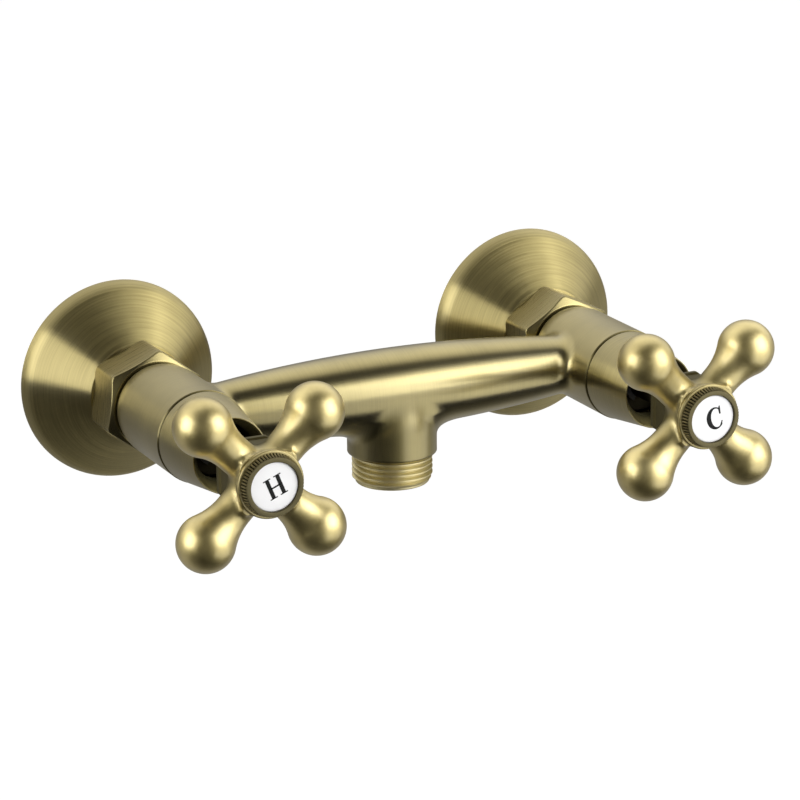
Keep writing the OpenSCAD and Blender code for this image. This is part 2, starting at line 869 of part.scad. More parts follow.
// One side view of the hub: a chamfered rear rim, then two sunk flat panels
module hub_slab() {
    half = hub_w / 2;
    panel = half - hub_panel_depth;
    rim_end = hub_rear + hub_rim_len;
    lip_rear = hub_front - hub_lip_t;
    rotate([90, 0, 0])
        linear_extrude(hub_corner_d, center = true)
            polygon([
                [-half + hub_chamfer, hub_rear],
                [half - hub_chamfer, hub_rear],
                [half, hub_rear + hub_chamfer],
                [half, rim_end],
                [panel, rim_end + hub_panel_depth],
                [panel, lip_rear],
                [-panel, lip_rear],
                [-panel, rim_end + hub_panel_depth],
                [-half, rim_end],
                [-half, hub_rear + hub_chamfer]
            ]);
}

// Square hub with rounded corners under the arms
module hub_column() {
    intersection() {
        hub_slab();
        rotate([0, 0, 90])
            hub_slab();
        bar(hub_rear - cut, hub_front, hub_corner_d / 2);
    }
}

// Lip that the index ring sits in, with the cone behind it
module hub_lip() {
    lip_r = hub_lip_d / 2;
    lip_rear = hub_front - hub_lip_t;
    bar(lip_rear, hub_front, lip_r);
    taper(lip_rear - hub_lip_cone, lip_rear, hub_w / 2, lip_r);
}

// Outline of an arm: waist arc, then the knob's sphere, tangent to each other
function arm_outline() =
    let (
        span = arm_reach - arm_neck_reach,
        waist_r = (span * span + arm_neck_r * arm_neck_r - arm_knob_r * arm_knob_r)
            / (2 * (arm_knob_r - arm_neck_r)),
        waist_cx = arm_neck_r + waist_r,
        join = atan2(span, waist_cx),
        start = asin(arm_neck_reach / 2 / waist_r)
    )
    concat(
        [[0, arm_neck_reach / 2]],
        arc(waist_cx, arm_neck_reach, waist_r, 180 + start, 180 - join, arc_steps + 2),
        [for (i = [1 : 2 * arc_steps - 1])
            let (a = -join + (90 + join) * i / (2 * arc_steps))
            [arm_knob_r * cos(a), arm_reach + arm_knob_r * sin(a)]],
        [[0, arm_reach + arm_knob_r]]
    );

module arm(turn) {
    translate([0, 0, arm_at])
        rotate([0, 0, turn])
            rotate([0, 90, 0])
                rotate_extrude()
                    polygon(arm_outline());
}

module cross_handle(side) {
    color("darkgoldenrod")
        on_axis(side)
            difference() {
                union() {
                    hub_column();
                    hub_lip();
                    for (turn = [45 : 90 : 315])
                        arm(turn);
                }
                bar(hub_rear - cut, web_rear, spline_d / 2 + socket_gap);
                bar(hub_rear, hub_front, screw_d / 2 + 2 * screw_gap);
                bar(web_front, hub_front + cut, recess_d / 2);
            }
}

module handle_screw(side) {
    color("silver")
        on_axis(side)
            difference() {
                union() {
                    bar(web_front, web_front + screw_head_h, screw_head_d / 2);
                    bar(web_front - screw_len, web_front, screw_d / 2);
                }
                hex_bar(web_front + screw_head_h / 3, web_front + screw_head_h + cut, screw_key_af);
            }
}

// ---------- index ----------

module index_ring(side) {
    spigot_r = recess_d / 2 - spigot_gap;
    pocket_r = index_d / 2 + index_gap;
    color("darkolivegreen")
        on_axis(side)
            rotate_extrude()
                polygon([
                    [0, hub_front],
                    [spigot_r - spigot_wall, hub_front],
                    [spigot_r - spigot_wall, hub_front - spigot_len],
                    [spigot_r, hub_front - spigot_len],
                    [spigot_r, hub_front],
                    [ring_rear_d / 2, hub_front],
                    [ring_front_d / 2, ring_front],
                    [pocket_r, ring_front],
                    [pocket_r, index_at],
                    [0, index_at]
                ]);
}

module index_disc(side) {
    color("white")
        on_axis(side)
            bar(index_at, index_at + index_t, index_d / 2);
}

mixer_body();
outlet_nipple();
wall_connector(hot);  // hot_wall_connector
wall_connector(cold);  // cold_wall_connector
wall_flange(hot);  // hot_wall_flange
wall_flange(cold);  // cold_wall_flange
union_nut(hot, hot_nut_turn);  // hot_union_nut
union_nut(cold, cold_nut_turn);  // cold_union_nut
inlet_gasket(hot);  // hot_inlet_gasket
inlet_gasket(cold);  // cold_inlet_gasket
inlet_tail(hot);  // hot_inlet_tail
inlet_tail(cold);  // cold_inlet_tail
headwork_body(hot);  // hot_headwork_body
headwork_body(cold);  // cold_headwork_body
headwork_washer(hot);  // hot_headwork_washer
headwork_washer(cold);  // cold_headwork_washer
seat_seal(hot);  // hot_seat_seal
seat_seal(cold);  // cold_seat_seal
fixed_disc(hot);  // hot_fixed_disc
fixed_disc(cold);  // cold_fixed_disc
moving_disc(hot);  // hot_moving_disc
moving_disc(cold);  // cold_moving_disc
spindle(hot);  // hot_spindle
spindle(cold);  // cold_spindle
spindle_orings(hot);  // hot_spindle_orings
spindle_orings(cold);  // cold_spindle_orings
retaining_clip(hot);  // hot_retaining_clip
retaining_clip(cold);  // cold_retaining_clip
sleeve(hot);  // hot_sleeve
sleeve(cold);  // cold_sleeve
cross_handle(hot);  // hot_cross_handle
cross_handle(cold);  // cold_cross_handle
handle_screw(hot);  // hot_handle_screw
handle_screw(cold);  // cold_handle_screw
index_ring(hot);  // hot_index_ring
index_ring(cold);  // cold_index_ring
index_disc(hot);  // hot_index_disc
index_disc(cold);  // cold_index_disc
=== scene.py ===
"""Looks of a wall mounted two handle shower mixer in antique brass.

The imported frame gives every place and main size. The classes below build the visible
skins round it: cone flanges, union nuts, the blended casting, the threaded outlet, the
tapered sleeves, the cross handles and the knurled index rings. Lengths are millimetres
while a piece is drawn, and metres in the finished mesh.
"""

import json
import logging
import math
from collections.abc import Callable, Sequence
from dataclasses import dataclass
from enum import Enum
from itertools import product

import bmesh
import bpy
import numpy as np
from mathutils import Matrix, Vector


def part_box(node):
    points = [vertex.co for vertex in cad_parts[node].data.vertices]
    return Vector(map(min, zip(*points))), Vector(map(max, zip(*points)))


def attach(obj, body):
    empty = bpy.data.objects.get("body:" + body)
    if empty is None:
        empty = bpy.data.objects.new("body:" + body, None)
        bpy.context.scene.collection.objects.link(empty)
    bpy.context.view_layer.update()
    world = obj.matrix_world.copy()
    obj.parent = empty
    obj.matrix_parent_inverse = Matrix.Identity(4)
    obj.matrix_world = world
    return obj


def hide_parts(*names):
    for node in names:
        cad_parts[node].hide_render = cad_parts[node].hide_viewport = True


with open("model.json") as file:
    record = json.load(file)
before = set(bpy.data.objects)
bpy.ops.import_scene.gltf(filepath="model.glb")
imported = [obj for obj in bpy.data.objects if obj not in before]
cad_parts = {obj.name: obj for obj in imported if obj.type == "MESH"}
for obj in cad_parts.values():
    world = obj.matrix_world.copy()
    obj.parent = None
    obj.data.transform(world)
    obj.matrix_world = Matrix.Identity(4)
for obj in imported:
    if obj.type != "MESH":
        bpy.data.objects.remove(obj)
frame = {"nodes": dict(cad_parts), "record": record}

log = logging.getLogger("mixer")

MM = 0.001
TINY = 1e-6
FIXED_BODY = "mixer"
# The darkening attribute paints dark oxide and painted shade into recesses, hollows and seams.
LINES, PATINA_AND_SHADE = "lines", "patina"

Point = tuple[float, float]
Profile = list[Point]
Colour = tuple[float, float, float]
Distance = Callable[[np.ndarray], np.ndarray]
Outline = Callable[[float, float, float], Point]
Socket, Material, Object = bpy.types.NodeSocket, bpy.types.Material, bpy.types.Object
BMesh, Rim = bmesh.types.BMesh, list[bmesh.types.BMVert]


class Side(Enum):
    """The two supplies of the mixer."""

    HOT = "hot"
    COLD = "cold"

    def node(self, piece: str) -> str:
        """Name of this side's CAD node for a piece."""
        return f"{self.value}_{piece}"

    @property
    def body(self) -> str:
        """Name of the body that turns with this side's handle."""
        return f"{self.value}_valve_handle"


# ---------------------------------------------------------------- places

OUTWARDS = ((1, 0, 0), (0, 0, 1), (0, -1, 0))
DOWNWARDS = ((1, 0, 0), (0, -1, 0), (0, 0, -1))


def local_frame(origin: Sequence[float], axes: Sequence[Sequence[float]] = OUTWARDS) -> Matrix:
    """Matrix from local millimetres to metres in the object's frame.

    Args:
        origin: Where the local zero lies, in millimetres.
        axes: Directions of the local coordinates; the third is a piece's own axis.

    Returns:
        The matrix.
    """
    turn = Matrix(axes).transposed().to_4x4()
    return Matrix.Translation(Vector(origin) * MM) @ turn @ Matrix.Scale(MM, 4)


def span(node: str, axis: int) -> Point:
    """Lowest and highest coordinate of a CAD node along an axis, in millimetres."""
    low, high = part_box(node)
    return low[axis] / MM, high[axis] / MM


def middle(node: str, axis: int) -> float:
    """Middle of a CAD node along an axis, in millimetres."""
    low, high = span(node, axis)
    return (low + high) / 2


def depth(node: str) -> Point:
    """Distances of a CAD node's back and front from the wall, in millimetres."""
    low, high = span(node, 1)
    return -high, -low


def axis_height() -> float:
    """Height of the inlets' and the bridge's axes, in millimetres."""
    return middle(Side.HOT.node("sleeve"), 2)


def inlet_place(side: Side) -> Matrix:
    """Local frame on one inlet axis, with distances from the wall."""
    sleeve = side.node("sleeve")
    return local_frame((middle(sleeve, 0), 0.0, middle(sleeve, 2)))


# ---------------------------------------------------------------- node trees

class Graph:
    """A small helper that writes a node tree."""

    def __init__(self, tree: bpy.types.NodeTree) -> None:
        """Starts with the tree emptied."""
        self.tree = tree
        tree.nodes.clear()

    def put(self, value: object, socket: Socket) -> None:
        """Joins or sets an input.

        Args:
            value: The socket to join, or a plain value.
            socket: The input.
        """
        if isinstance(value, Socket):
            self.tree.links.new(value, socket)
        else:
            socket.default_value = value

    def add(self, kind: str, inputs: dict[str | int, object] | None = None,
            **values: object) -> bpy.types.Node:
        """Adds a node.

        Args:
            kind: The node's type name.
            inputs: Sockets or values of its inputs, by name or number.
            **values: Properties of the node.

        Returns:
            The new node.
        """
        node = self.tree.nodes.new(kind)
        for key, value in values.items():
            setattr(node, key, value)
        for key, value in (inputs or {}).items():
            self.put(value, node.inputs[key])
        return node

    def math(self, operation: str, first: object, second: object = 0.0) -> Socket:
        """Adds a math node and returns its result."""
        return self.add("ShaderNodeMath", {0: first, 1: second}, operation=operation).outputs[0]

    def vector(self, x: object = 0.0, y: object = 0.0, z: object = 0.0) -> Socket:
        """Joins three sockets or numbers into a vector."""
        return self.add("ShaderNodeCombineXYZ", {0: x, 1: y, 2: z}).outputs[0]

    def parts(self, vector: Socket) -> Sequence[Socket]:
        """The three parts of a vector."""
        return self.add("ShaderNodeSeparateXYZ", {0: vector}).outputs


class Paint(Graph):
    """Writes the node tree of a material with one principled surface."""

    middle_tones = (0.32, 0.68)

    def __init__(self, name: str) -> None:
        """Starts an empty material of that name."""
        self.material = bpy.data.materials.new(name)
        self.material.use_nodes = True
        super().__init__(self.material.node_tree)
        self.shader = self.add("ShaderNodeBsdfPrincipled")
        self.output = self.add("ShaderNodeOutputMaterial", {0: self.shader.outputs[0]})

    def surface(self, values: dict[str, object]) -> None:
        """Joins or sets inputs of the surface by their names."""
        for key, value in values.items():
            self.put(value, self.shader.inputs[key])

    def place(self) -> Socket:
        """Place on the piece, in metres."""
        return self.add("ShaderNodeTexCoord").outputs["Object"]

    def attribute(self, name: str) -> Sequence[Socket]:
        """Outputs of a named attribute of the mesh."""
        return self.add("ShaderNodeAttribute", attribute_name=name).outputs

    def noise(self, vector: Socket, scale: float, detail: float) -> Socket:
        """Adds a noise texture and returns its grey value."""
        inputs = {"Vector": vector, "Scale": scale, "Detail": detail}
        return self.add("ShaderNodeTexNoise", inputs).outputs["Fac"]

    def contrast(self, factor: Socket) -> Socket:
        """Stretches the middle tones of a noise over 0..1."""
        low, high = self.middle_tones
        return self.add("ShaderNodeMapRange", {"Value": factor, "From Min": low, "From Max": high}).outputs[0]

    def ramp(self, factor: Socket, low: float, high: float) -> Socket:
        """Maps a factor from 0..1 to low..high."""
        return self.add("ShaderNodeMapRange", {"Value": factor, "To Min": low, "To Max": high}).outputs[0]

    def blend(self, factor: Socket, first: Colour | Socket, second: Colour | Socket) -> Socket:
        """Mixes two colours by a factor.

        Args:
            factor: Grey value from 0 to 1.
            first: Colour or socket at 0.
            second: Colour or socket at 1.

        Returns:
            The mixed colour.
        """
        node = self.add("ShaderNodeMix", {"Factor": factor}, data_type="RGBA")
        colours = [s for s in node.inputs if s.type == "RGBA"]
        for socket, value in zip(colours, (first, second)):
            self.put(value if isinstance(value, Socket) else (*value, 1.0), socket)
        return next(s for s in node.outputs if s.type == "RGBA")

    def bump(self, height: Socket, distance: float, strength: float) -> None:
        """Presses a height, with its size in metres and its strength, into the surface."""
        node = self.add("ShaderNodeBump", {"Height": height, "Distance": distance, "Strength": strength})
        self.surface({"Normal": node.outputs[0]})


# ---------------------------------------------------------------- finishes

class Brushing(Enum):
    """How the fine lines of a metal surface run."""

    AROUND = "around the piece's own axis, from its map"
    CASTING = "round the bridge, then round each branch"
    NONE = "no lines"


# Colour that the darkening attribute mixes in: dark oxide, and painted shade in recesses, hollows and seams.
TARNISH_AND_SHADE = (0.045, 0.04, 0.018)
TARNISH_AND_SHADE_ROUGHNESS = 0.2
COAT_ROUGHNESS, COAT_IOR = 0.28, 1.65
# Noise scales, per metre of the piece except for the lines, which follow a map in millimetres
CLOUDS, SMALL_CLOUDS, SPECKLE, SPECKS = 38.0, 85.0, 260.0, 420.0
LINE_SCALE, LINE_RADIUS, LINE_SIZES = 1.5, 0.7, (1.0, 5.0)
ACROSS_LINES, ALONG_LINES = 3200.0, 60.0


@dataclass(frozen=True)
class Metal:
    """An antique brass finish, which the darkening attribute darkens in recesses with dark oxide and painted
    shade.

    Attributes:
        name: Name of the material.
        dark: Colour in the darker patches of the finish.
        light: Colour in the lighter patches.
        roughness: Mean roughness.
        spread: Change of roughness along the brushing lines.
        stretch: Strength of the stretched highlights.
        brushing: Direction of the lines.
        relief: Height of the lines in metres.
        coat: Weight of the clear lacquer.
        grain: Share of the lines in the patches of colour.
    """

    name: str
    dark: Colour
    light: Colour
    roughness: float
    spread: float = 0.06
    stretch: float = 0.0
    brushing: Brushing = Brushing.NONE
    relief: float = 4e-6
    coat: float = 0.9
    grain: float = 0.6

    def _around(self, paint: Paint) -> Socket:
        """Adds lines that run round the piece, and their tangent.

        Args:
            paint: The material's tree.

        Returns:
            The lines' grey value.
        """
        along, share, _ = paint.parts(paint.add("ShaderNodeUVMap", uv_map=LINES).outputs[0])
        angle = paint.math("MULTIPLY", share, 2 * math.pi)
        around = [paint.math("MULTIPLY", paint.math(wave, angle), LINE_RADIUS) for wave in ("COSINE", "SINE")]
        streaks = []
        for finer in LINE_SIZES:
            ring = paint.vector(paint.math("MULTIPLY", along, finer), *around)
            streaks.append(paint.math("MULTIPLY", paint.noise(ring, LINE_SCALE, 3.0), 1 / len(LINE_SIZES)))
        tangent = paint.add("ShaderNodeTangent", direction_type="UV_MAP", uv_map=LINES)
        paint.surface({"Tangent": tangent.outputs[0]})
        return paint.contrast(paint.math("ADD", *streaks))

    def _on_casting(self, paint: Paint) -> Socket:
        """Adds lines that turn from the bridge to the branches, and their tangent.

        Args:
            paint: The material's tree.

        Returns:
            The lines' grey value.
        """
        slots = {"Factor": paint.attribute("branch")["Fac"]}
        for axis, slot in enumerate("AB"):
            scale = [ACROSS_LINES if i == axis else ALONG_LINES for i in range(3)]
            inputs = {"Vector": paint.place(), "Scale": scale}
            mapping = paint.add("ShaderNodeMapping", inputs, vector_type="POINT")
            slots[slot] = paint.contrast(paint.noise(mapping.outputs[0], 1.0, 5.0))
        paint.surface({"Tangent": paint.attribute("stretch")["Vector"]})
        return paint.add("ShaderNodeMix", slots, data_type="FLOAT").outputs[0]

    def build(self) -> Material:
        """Makes the material."""
        paint = Paint(self.name)
        if self.brushing is Brushing.NONE:
            lines = paint.noise(paint.place(), SPECKLE, 4.0)
            cloud = paint.contrast(paint.noise(paint.place(), SMALL_CLOUDS, 3.0))
        else:
            lines = self._around(paint) if self.brushing is Brushing.AROUND else self._on_casting(paint)
            cloud = paint.noise(paint.place(), CLOUDS, 3.0)
        patches = paint.math("MULTIPLY", cloud, 1 - self.grain)
        mixed = paint.math("ADD", patches, paint.math("MULTIPLY", lines, self.grain))
        # Darkening for dark oxide and painted shade; it also takes the coat away and roughens.
        patina = paint.attribute(PATINA_AND_SHADE)["Fac"]
        rough = paint.ramp(lines, self.roughness - self.spread, self.roughness + self.spread)
        paint.surface({
            "Metallic": 1.0, "Anisotropic": self.stretch,
            "Coat Roughness": COAT_ROUGHNESS, "Coat IOR": COAT_IOR,
            "Coat Weight": paint.ramp(patina, self.coat, 0.0),
            "Base Color": paint.blend(patina, paint.blend(mixed, self.dark, self.light), TARNISH_AND_SHADE),
            "Roughness": paint.math("ADD", rough, paint.math("MULTIPLY", patina, TARNISH_AND_SHADE_ROUGHNESS)),
        })
        paint.bump(lines, self.relief, 0.5)
        return paint.material


@dataclass(frozen=True)
class Plain:
    """A finish for porcelain, print, rubber, steel and technical ceramic.

    Attributes:
        name: Name of the material.
        colour: Main colour.
        roughness: Mean roughness.
        metallic: 1 for metal.
        coat: Weight of the glaze.
        mottle: Share by which the colour darkens in patches.
    """

    name: str
    colour: Colour
    roughness: float
    metallic: float = 0.0
    coat: float = 0.0
    mottle: float = 0.1
    spread = 0.04

    def build(self) -> Material:
        """Makes the material."""
        paint = Paint(self.name)
        speck = paint.noise(paint.place(), SPECKS, 3.0)
        darker = tuple(c * (1 - self.mottle) for c in self.colour)
        paint.surface({
            "Metallic": self.metallic, "Coat Weight": self.coat, "Coat Roughness": 0.05,
            "Base Color": paint.blend(speck, darker, self.colour),
            "Roughness": paint.ramp(speck, self.roughness - self.spread, self.roughness + self.spread),
        })
        return paint.material


SUNK, WORN = (0.16, 0.13, 0.045), (0.48, 0.40, 0.155)
LOOKS = (
    Metal("flange_brushed", (0.22, 0.18, 0.065), (0.60, 0.505, 0.225), 0.34, 0.06, 0.96, Brushing.AROUND,
          1e-6, coat=0.3, grain=0.5),
    Metal("nut_brushed", SUNK, WORN, 0.28, 0.02, 0.5, Brushing.AROUND, 2e-7, coat=0.6, grain=0.15),
    Metal("sleeve_brushed", SUNK, WORN, 0.33, 0.05, 0.9, Brushing.AROUND, 8e-7, grain=0.4),
    Metal("casting_brushed", (0.19, 0.155, 0.05), (0.55, 0.46, 0.19), 0.31, 0.0, 0.8, Brushing.CASTING,
          0.0, grain=0.12),
    Metal("handle_polished", (0.42, 0.335, 0.115), (0.86, 0.725, 0.33), 0.41, 0.04, relief=2e-6, grain=0.4),
    Metal("bare_brass", (0.74, 0.64, 0.33), (0.92, 0.83, 0.50), 0.45, 0.05, coat=0.3),
    Metal("ring_bronze", (0.22, 0.185, 0.09), (0.38, 0.325, 0.17), 0.40, 0.05, coat=0.2),
    # Near black brass for the hidden parts in the sleeve's cavity: painted shade.
    Metal("spindle_brass_painted_shade", (0.025, 0.021, 0.012), (0.045, 0.038, 0.022), 0.7, coat=0.0),
    Plain("index_porcelain", (0.86, 0.86, 0.87), 0.35, 0.0, 0.6, 0.02),
    Plain("index_print", (0.004, 0.004, 0.004), 0.85),
    Plain("disc_ceramic", (0.86, 0.86, 0.83), 0.3),
    Plain("seal_rubber", (0.03, 0.03, 0.03), 0.7),
    Plain("black_steel", (0.05, 0.05, 0.05), 0.5, 1.0),
)


# ---------------------------------------------------------------- mesh tools

def dress(mesh: bpy.types.Mesh, finish: Material, sharp: float = 32.0) -> Object:
    """Turns a finished mesh into an object of the scene, at the origin.

    Args:
        mesh: The mesh, in metres in the object's frame, with the piece's name.
        finish: Its material.
        sharp: Angle in degrees above which an edge stays sharp.

    Returns:
        The new object.
    """
    mesh.materials.clear()
    mesh.materials.append(finish)
    mesh.shade_smooth()
    mesh.set_sharp_from_angle(angle=math.radians(sharp))
    piece = bpy.data.objects.new(mesh.name, mesh)
    bpy.context.scene.collection.objects.link(piece)
    return piece


def way(start: Point, end: Point, steps: int) -> Profile:
    """Points on the straight way from a start, which is left out, to an end."""
    shares = [i / steps for i in range(1, steps + 1)]
    return [(start[0] + (end[0] - start[0]) * t, start[1] + (end[1] - start[1]) * t) for t in shares]


def arc(cx: float, cy: float, radius: float, start: float, end: float, steps: int) -> Profile:
    """Points of an arc, with its angles in degrees."""
    angles = [math.radians(start + (end - start) * i / steps) for i in range(steps + 1)]
    return [(cx + radius * math.cos(a), cy + radius * math.sin(a)) for a in angles]


def rounded(points: Profile, radius: float, steps: int = 4, closed: bool = True) -> Profile:
    """Rounds the corners of a profile.

    Args:
        points: Corners of the profile.
        radius: Radius of the rounding; it shrinks on short sides.
        steps: Steps of each arc.
        closed: Whether the last point joins the first.

    Returns:
        The rounded profile.
    """
    nearly_straight, share_of_side = math.radians(165), 0.45
    result: Profile = []
    count = len(points)
    for i, point in enumerate(points):
        if not closed and i in (0, count - 1):
            result.append(point)
            continue
        here = np.array(point)
        before = np.array(points[i - 1]) - here
        after = np.array(points[(i + 1) % count]) - here
        long_before, long_after = np.linalg.norm(before), np.linalg.norm(after)
        before, after = before / long_before, after / long_after
        angle = math.acos(float(np.clip(before @ after, -1, 1)))
        if angle > nearly_straight:
            result.append(point)
            continue
        reach = min(radius / math.tan(angle / 2), share_of_side * long_before, share_of_side * long_after)
        start, end = here + before * reach, here + after * reach
        for t in (k / steps for k in range(steps + 1)):
            curve = (1 - t) ** 2 * start + 2 * t * (1 - t) * here + t * t * end
            result.append((float(curve[0]), float(curve[1])))
    return result


def add_lathe(bm: BMesh, profile: Profile, steps: int, closed: bool = True,
              outline: Outline | None = None) -> None:
    """Turns a profile round the local axis and adds it to a mesh with its map of lines.

    Args:
        bm: Mesh to add to, in local millimetres.
        profile: Points of radius and distance; a radius of 0 makes a pole.
        steps: Steps round the axis.
        closed: Whether the last point joins the first.
        outline: Optional change of a point by its angle, for shapes that are not round.
    """
    lines = bm.loops.layers.uv.get(LINES) or bm.loops.layers.uv.new(LINES)
    rings: list[Rim] = []
    runs = [0.0]
    for i, (r, d) in enumerate(profile):
        if i:
            runs.append(runs[-1] + math.dist(profile[i - 1], (r, d)))
        if r < TINY:
            rings.append([bm.verts.new((0, 0, d))])
            continue
        ring = []
        for angle in (2 * math.pi * j / steps for j in range(steps)):
            rr, dd = outline(r, d, angle) if outline else (r, d)
            ring.append(bm.verts.new((rr * math.cos(angle), rr * math.sin(angle), dd)))
        rings.append(ring)
    runs.append(runs[-1] + 1.0)
    for i in range(len(rings) if closed else len(rings) - 1):
        near, far = rings[i], rings[(i + 1) % len(rings)]
        for j in range(steps):
            k = (j + 1) % steps
            corners = ((near[j % len(near)], i, j), (near[k % len(near)], i, j + 1),
                       (far[k % len(far)], i + 1, j + 1), (far[j % len(far)], i + 1, j))
            unique = {}
            for vert, run, turn in corners:
                unique.setdefault(vert, (runs[run], turn / steps))
            if len(unique) < 3:
                continue
            for loop, place in zip(bm.faces.new(tuple(unique)).loops, unique.values()):
                loop[lines].uv = place


def settle(bm: BMesh, name: str, place: Matrix) -> bpy.types.Mesh:
    """Puts a working mesh in its place with its faces outwards.

    Args:
        bm: The working mesh in local millimetres; it is freed.
        name: Name of the mesh.
        place: Its local frame.

    Returns:
        The finished mesh.
    """
    bm.transform(place)
    bmesh.ops.recalc_face_normals(bm, faces=bm.faces)
    mesh = bpy.data.meshes.new(name)
    bm.to_mesh(mesh)
    bm.free()
    return mesh


def settle_points(distance: Distance, points: np.ndarray, cell: float) -> np.ndarray:
    """Moves points on to the zero surface of a distance function.

    Args:
        distance: The distance function.
        points: Points close to its zero surface.
        cell: Size of a cell, which limits the moves.

    Returns:
        The moved points.
    """
    step, passes, least_slope = 0.02, 3, 0.05
    for _ in range(passes):
        value = distance(points)
        slope = np.stack([
            (distance(points + step * axis) - distance(points - step * axis)) / (2 * step)
            for axis in np.eye(3)
        ], 1)
        size = np.maximum((slope ** 2).sum(1), least_slope)
        move = value[:, None] * slope / size[:, None]
        length = np.maximum(np.linalg.norm(move, axis=1, keepdims=True), 1e-9)
        points = points - move * np.minimum(1.0, 0.5 * cell / length)
    return points


def surface_net(distance: Distance, low: Sequence[float], high: Sequence[float], cell: float) -> BMesh:
    """Draws quads on the zero surface of a distance function.

    Args:
        distance: Gives the distance of each point, negative inside.
        low: Lowest corner of the box to search.
        high: Highest corner of the box to search.
        cell: Size of a cell.

    Returns:
        The surface as a working mesh.
    """
    low = np.asarray(low, float)
    counts = np.ceil((np.asarray(high, float) - low) / cell).astype(int) + 1
    axes = [low[i] + cell * np.arange(counts[i]) for i in range(3)]
    grid = np.stack(np.meshgrid(*axes, indexing="ij"), -1)
    value = distance(grid.reshape(-1, 3)).reshape(counts)
    inside = value < 0
    corners = list(product((0, 1), repeat=3))

    def corner(array: np.ndarray, at: tuple[int, ...]) -> np.ndarray:
        """The values of one corner of every cell."""
        return array[tuple(slice(o, o + counts[i] - 1) for i, o in enumerate(at))]

    total = sum(corner(inside, at).astype(np.int8) for at in corners)
    active = (total > 0) & (total < len(corners))
    where = np.argwhere(active)
    index = np.full(active.shape, -1)
    index[active] = np.arange(len(where))
    summed, hits = np.zeros((len(where), 3)), np.zeros(len(where))
    for axis, at in product(range(3), corners):
        if at[axis]:
            continue
        end = tuple(1 if i == axis else o for i, o in enumerate(at))
        v0, v1 = corner(value, at)[active], corner(value, end)[active]
        cross = (v0 < 0) != (v1 < 0)
        offset = np.tile(np.array(at, float), (len(where), 1))
        offset[:, axis] = v0 / np.where(cross, v0 - v1, 1.0)
        summed[cross] += offset[cross]
        hits += cross
    points = settle_points(distance, low + cell * (where + summed / hits[:, None]), cell)
    faces = []
    for axis in range(3):
        others = [(axis + 1) % 3, (axis + 2) % 3]
        first = [slice(1, count - 1) for count in counts]
        first[axis] = slice(0, counts[axis] - 1)
        second = list(first)
        second[axis] = slice(1, counts[axis])
        in0, in1 = inside[tuple(first)], inside[tuple(second)]
        spots = np.argwhere(in0 != in1)
        flip = in0[tuple(spots.T)]
        spots[:, others] += 1
        quad = []
        for shift in ((1, 1), (0, 1), (0, 0), (1, 0)):
            cells = spots.copy()
            cells[:, others] -= shift
            quad.append(index[tuple(cells.T)])
        quad = np.stack(quad, 1)
        quad[~flip] = quad[~flip][:, ::-1]
        faces.append(quad)
    mesh = bpy.data.meshes.new("net")
    mesh.from_pydata(points.tolist(), [], np.concatenate(faces).tolist())
    bm = bmesh.new()
    bm.from_mesh(mesh)
    bpy.data.meshes.remove(mesh)
    return bm


def smooth_union(first: np.ndarray, second: np.ndarray, width: np.ndarray | float) -> np.ndarray:
    """Joins two distances with a fillet.

    Args:
        first: Distances to one shape.
        second: Distances to the other.
        width: Width of the zone in which they blend.

    Returns:
        The blended distances.
    """
    width = np.maximum(width, TINY)
    share = np.clip(0.5 + 0.5 * (second - first) / width, 0, 1)
    return second * (1 - share) + first * share - width * share * (1 - share)


def rim_loops(bm: BMesh) -> list[Rim]:
    """Finds the open rims of a mesh.

    Args:
        bm: The mesh.

    Returns:
        The vertices of each rim, in order.
    """
    edges = dict.fromkeys(e for e in bm.edges if e.is_boundary)
    loops = []
    while edges:
        start, here = edges.popitem()[0].verts
        loop = [start]
        while here is not start:
            loop.append(here)
            edge = next(e for e in here.link_edges if e in edges)
            del edges[edge]
            here = edge.other_vert(here)
        loops.append(loop)
    return loops


def carry_rim(bm: BMesh, loop: Rim, centre: Vector, down: bool, profile: Profile) -> None:
    """Carries an open rim on along a profile and closes it.

    Args:
        bm: The mesh, whose local coordinates run right, up and outwards.
        loop: Vertices of the rim in order.
        centre: A point on the rim's axis.
        down: Whether that axis runs down instead of outwards.
        profile: Radius of each further ring and its distance along the axis.
    """
    other = 2 if down else 1

    def point(r: float, angle: float, along: float) -> tuple[float, float, float]:
        """Place at a radius, an angle and a distance along the axis."""
        x, y = centre.x + r * math.cos(angle), centre[other] + r * math.sin(angle)
        return (x, -along, y) if down else (x, y, along)

    angles = [math.atan2(v.co[other] - centre[other], v.co.x - centre.x) for v in loop]
    rings = [loop] + [[bm.verts.new(point(r, a, d)) for a in angles] for r, d in profile]
    pole = bm.verts.new(point(0.0, 0.0, profile[-1][1]))
    for j in range(len(loop)):
        k = (j + 1) % len(loop)
        for near, far in zip(rings, rings[1:]):
            bm.faces.new((near[j], near[k], far[k], far[j]))
        bm.faces.new((rings[-1][j], rings[-1][k], pole))


# ---------------------------------------------------------------- repeated shapes

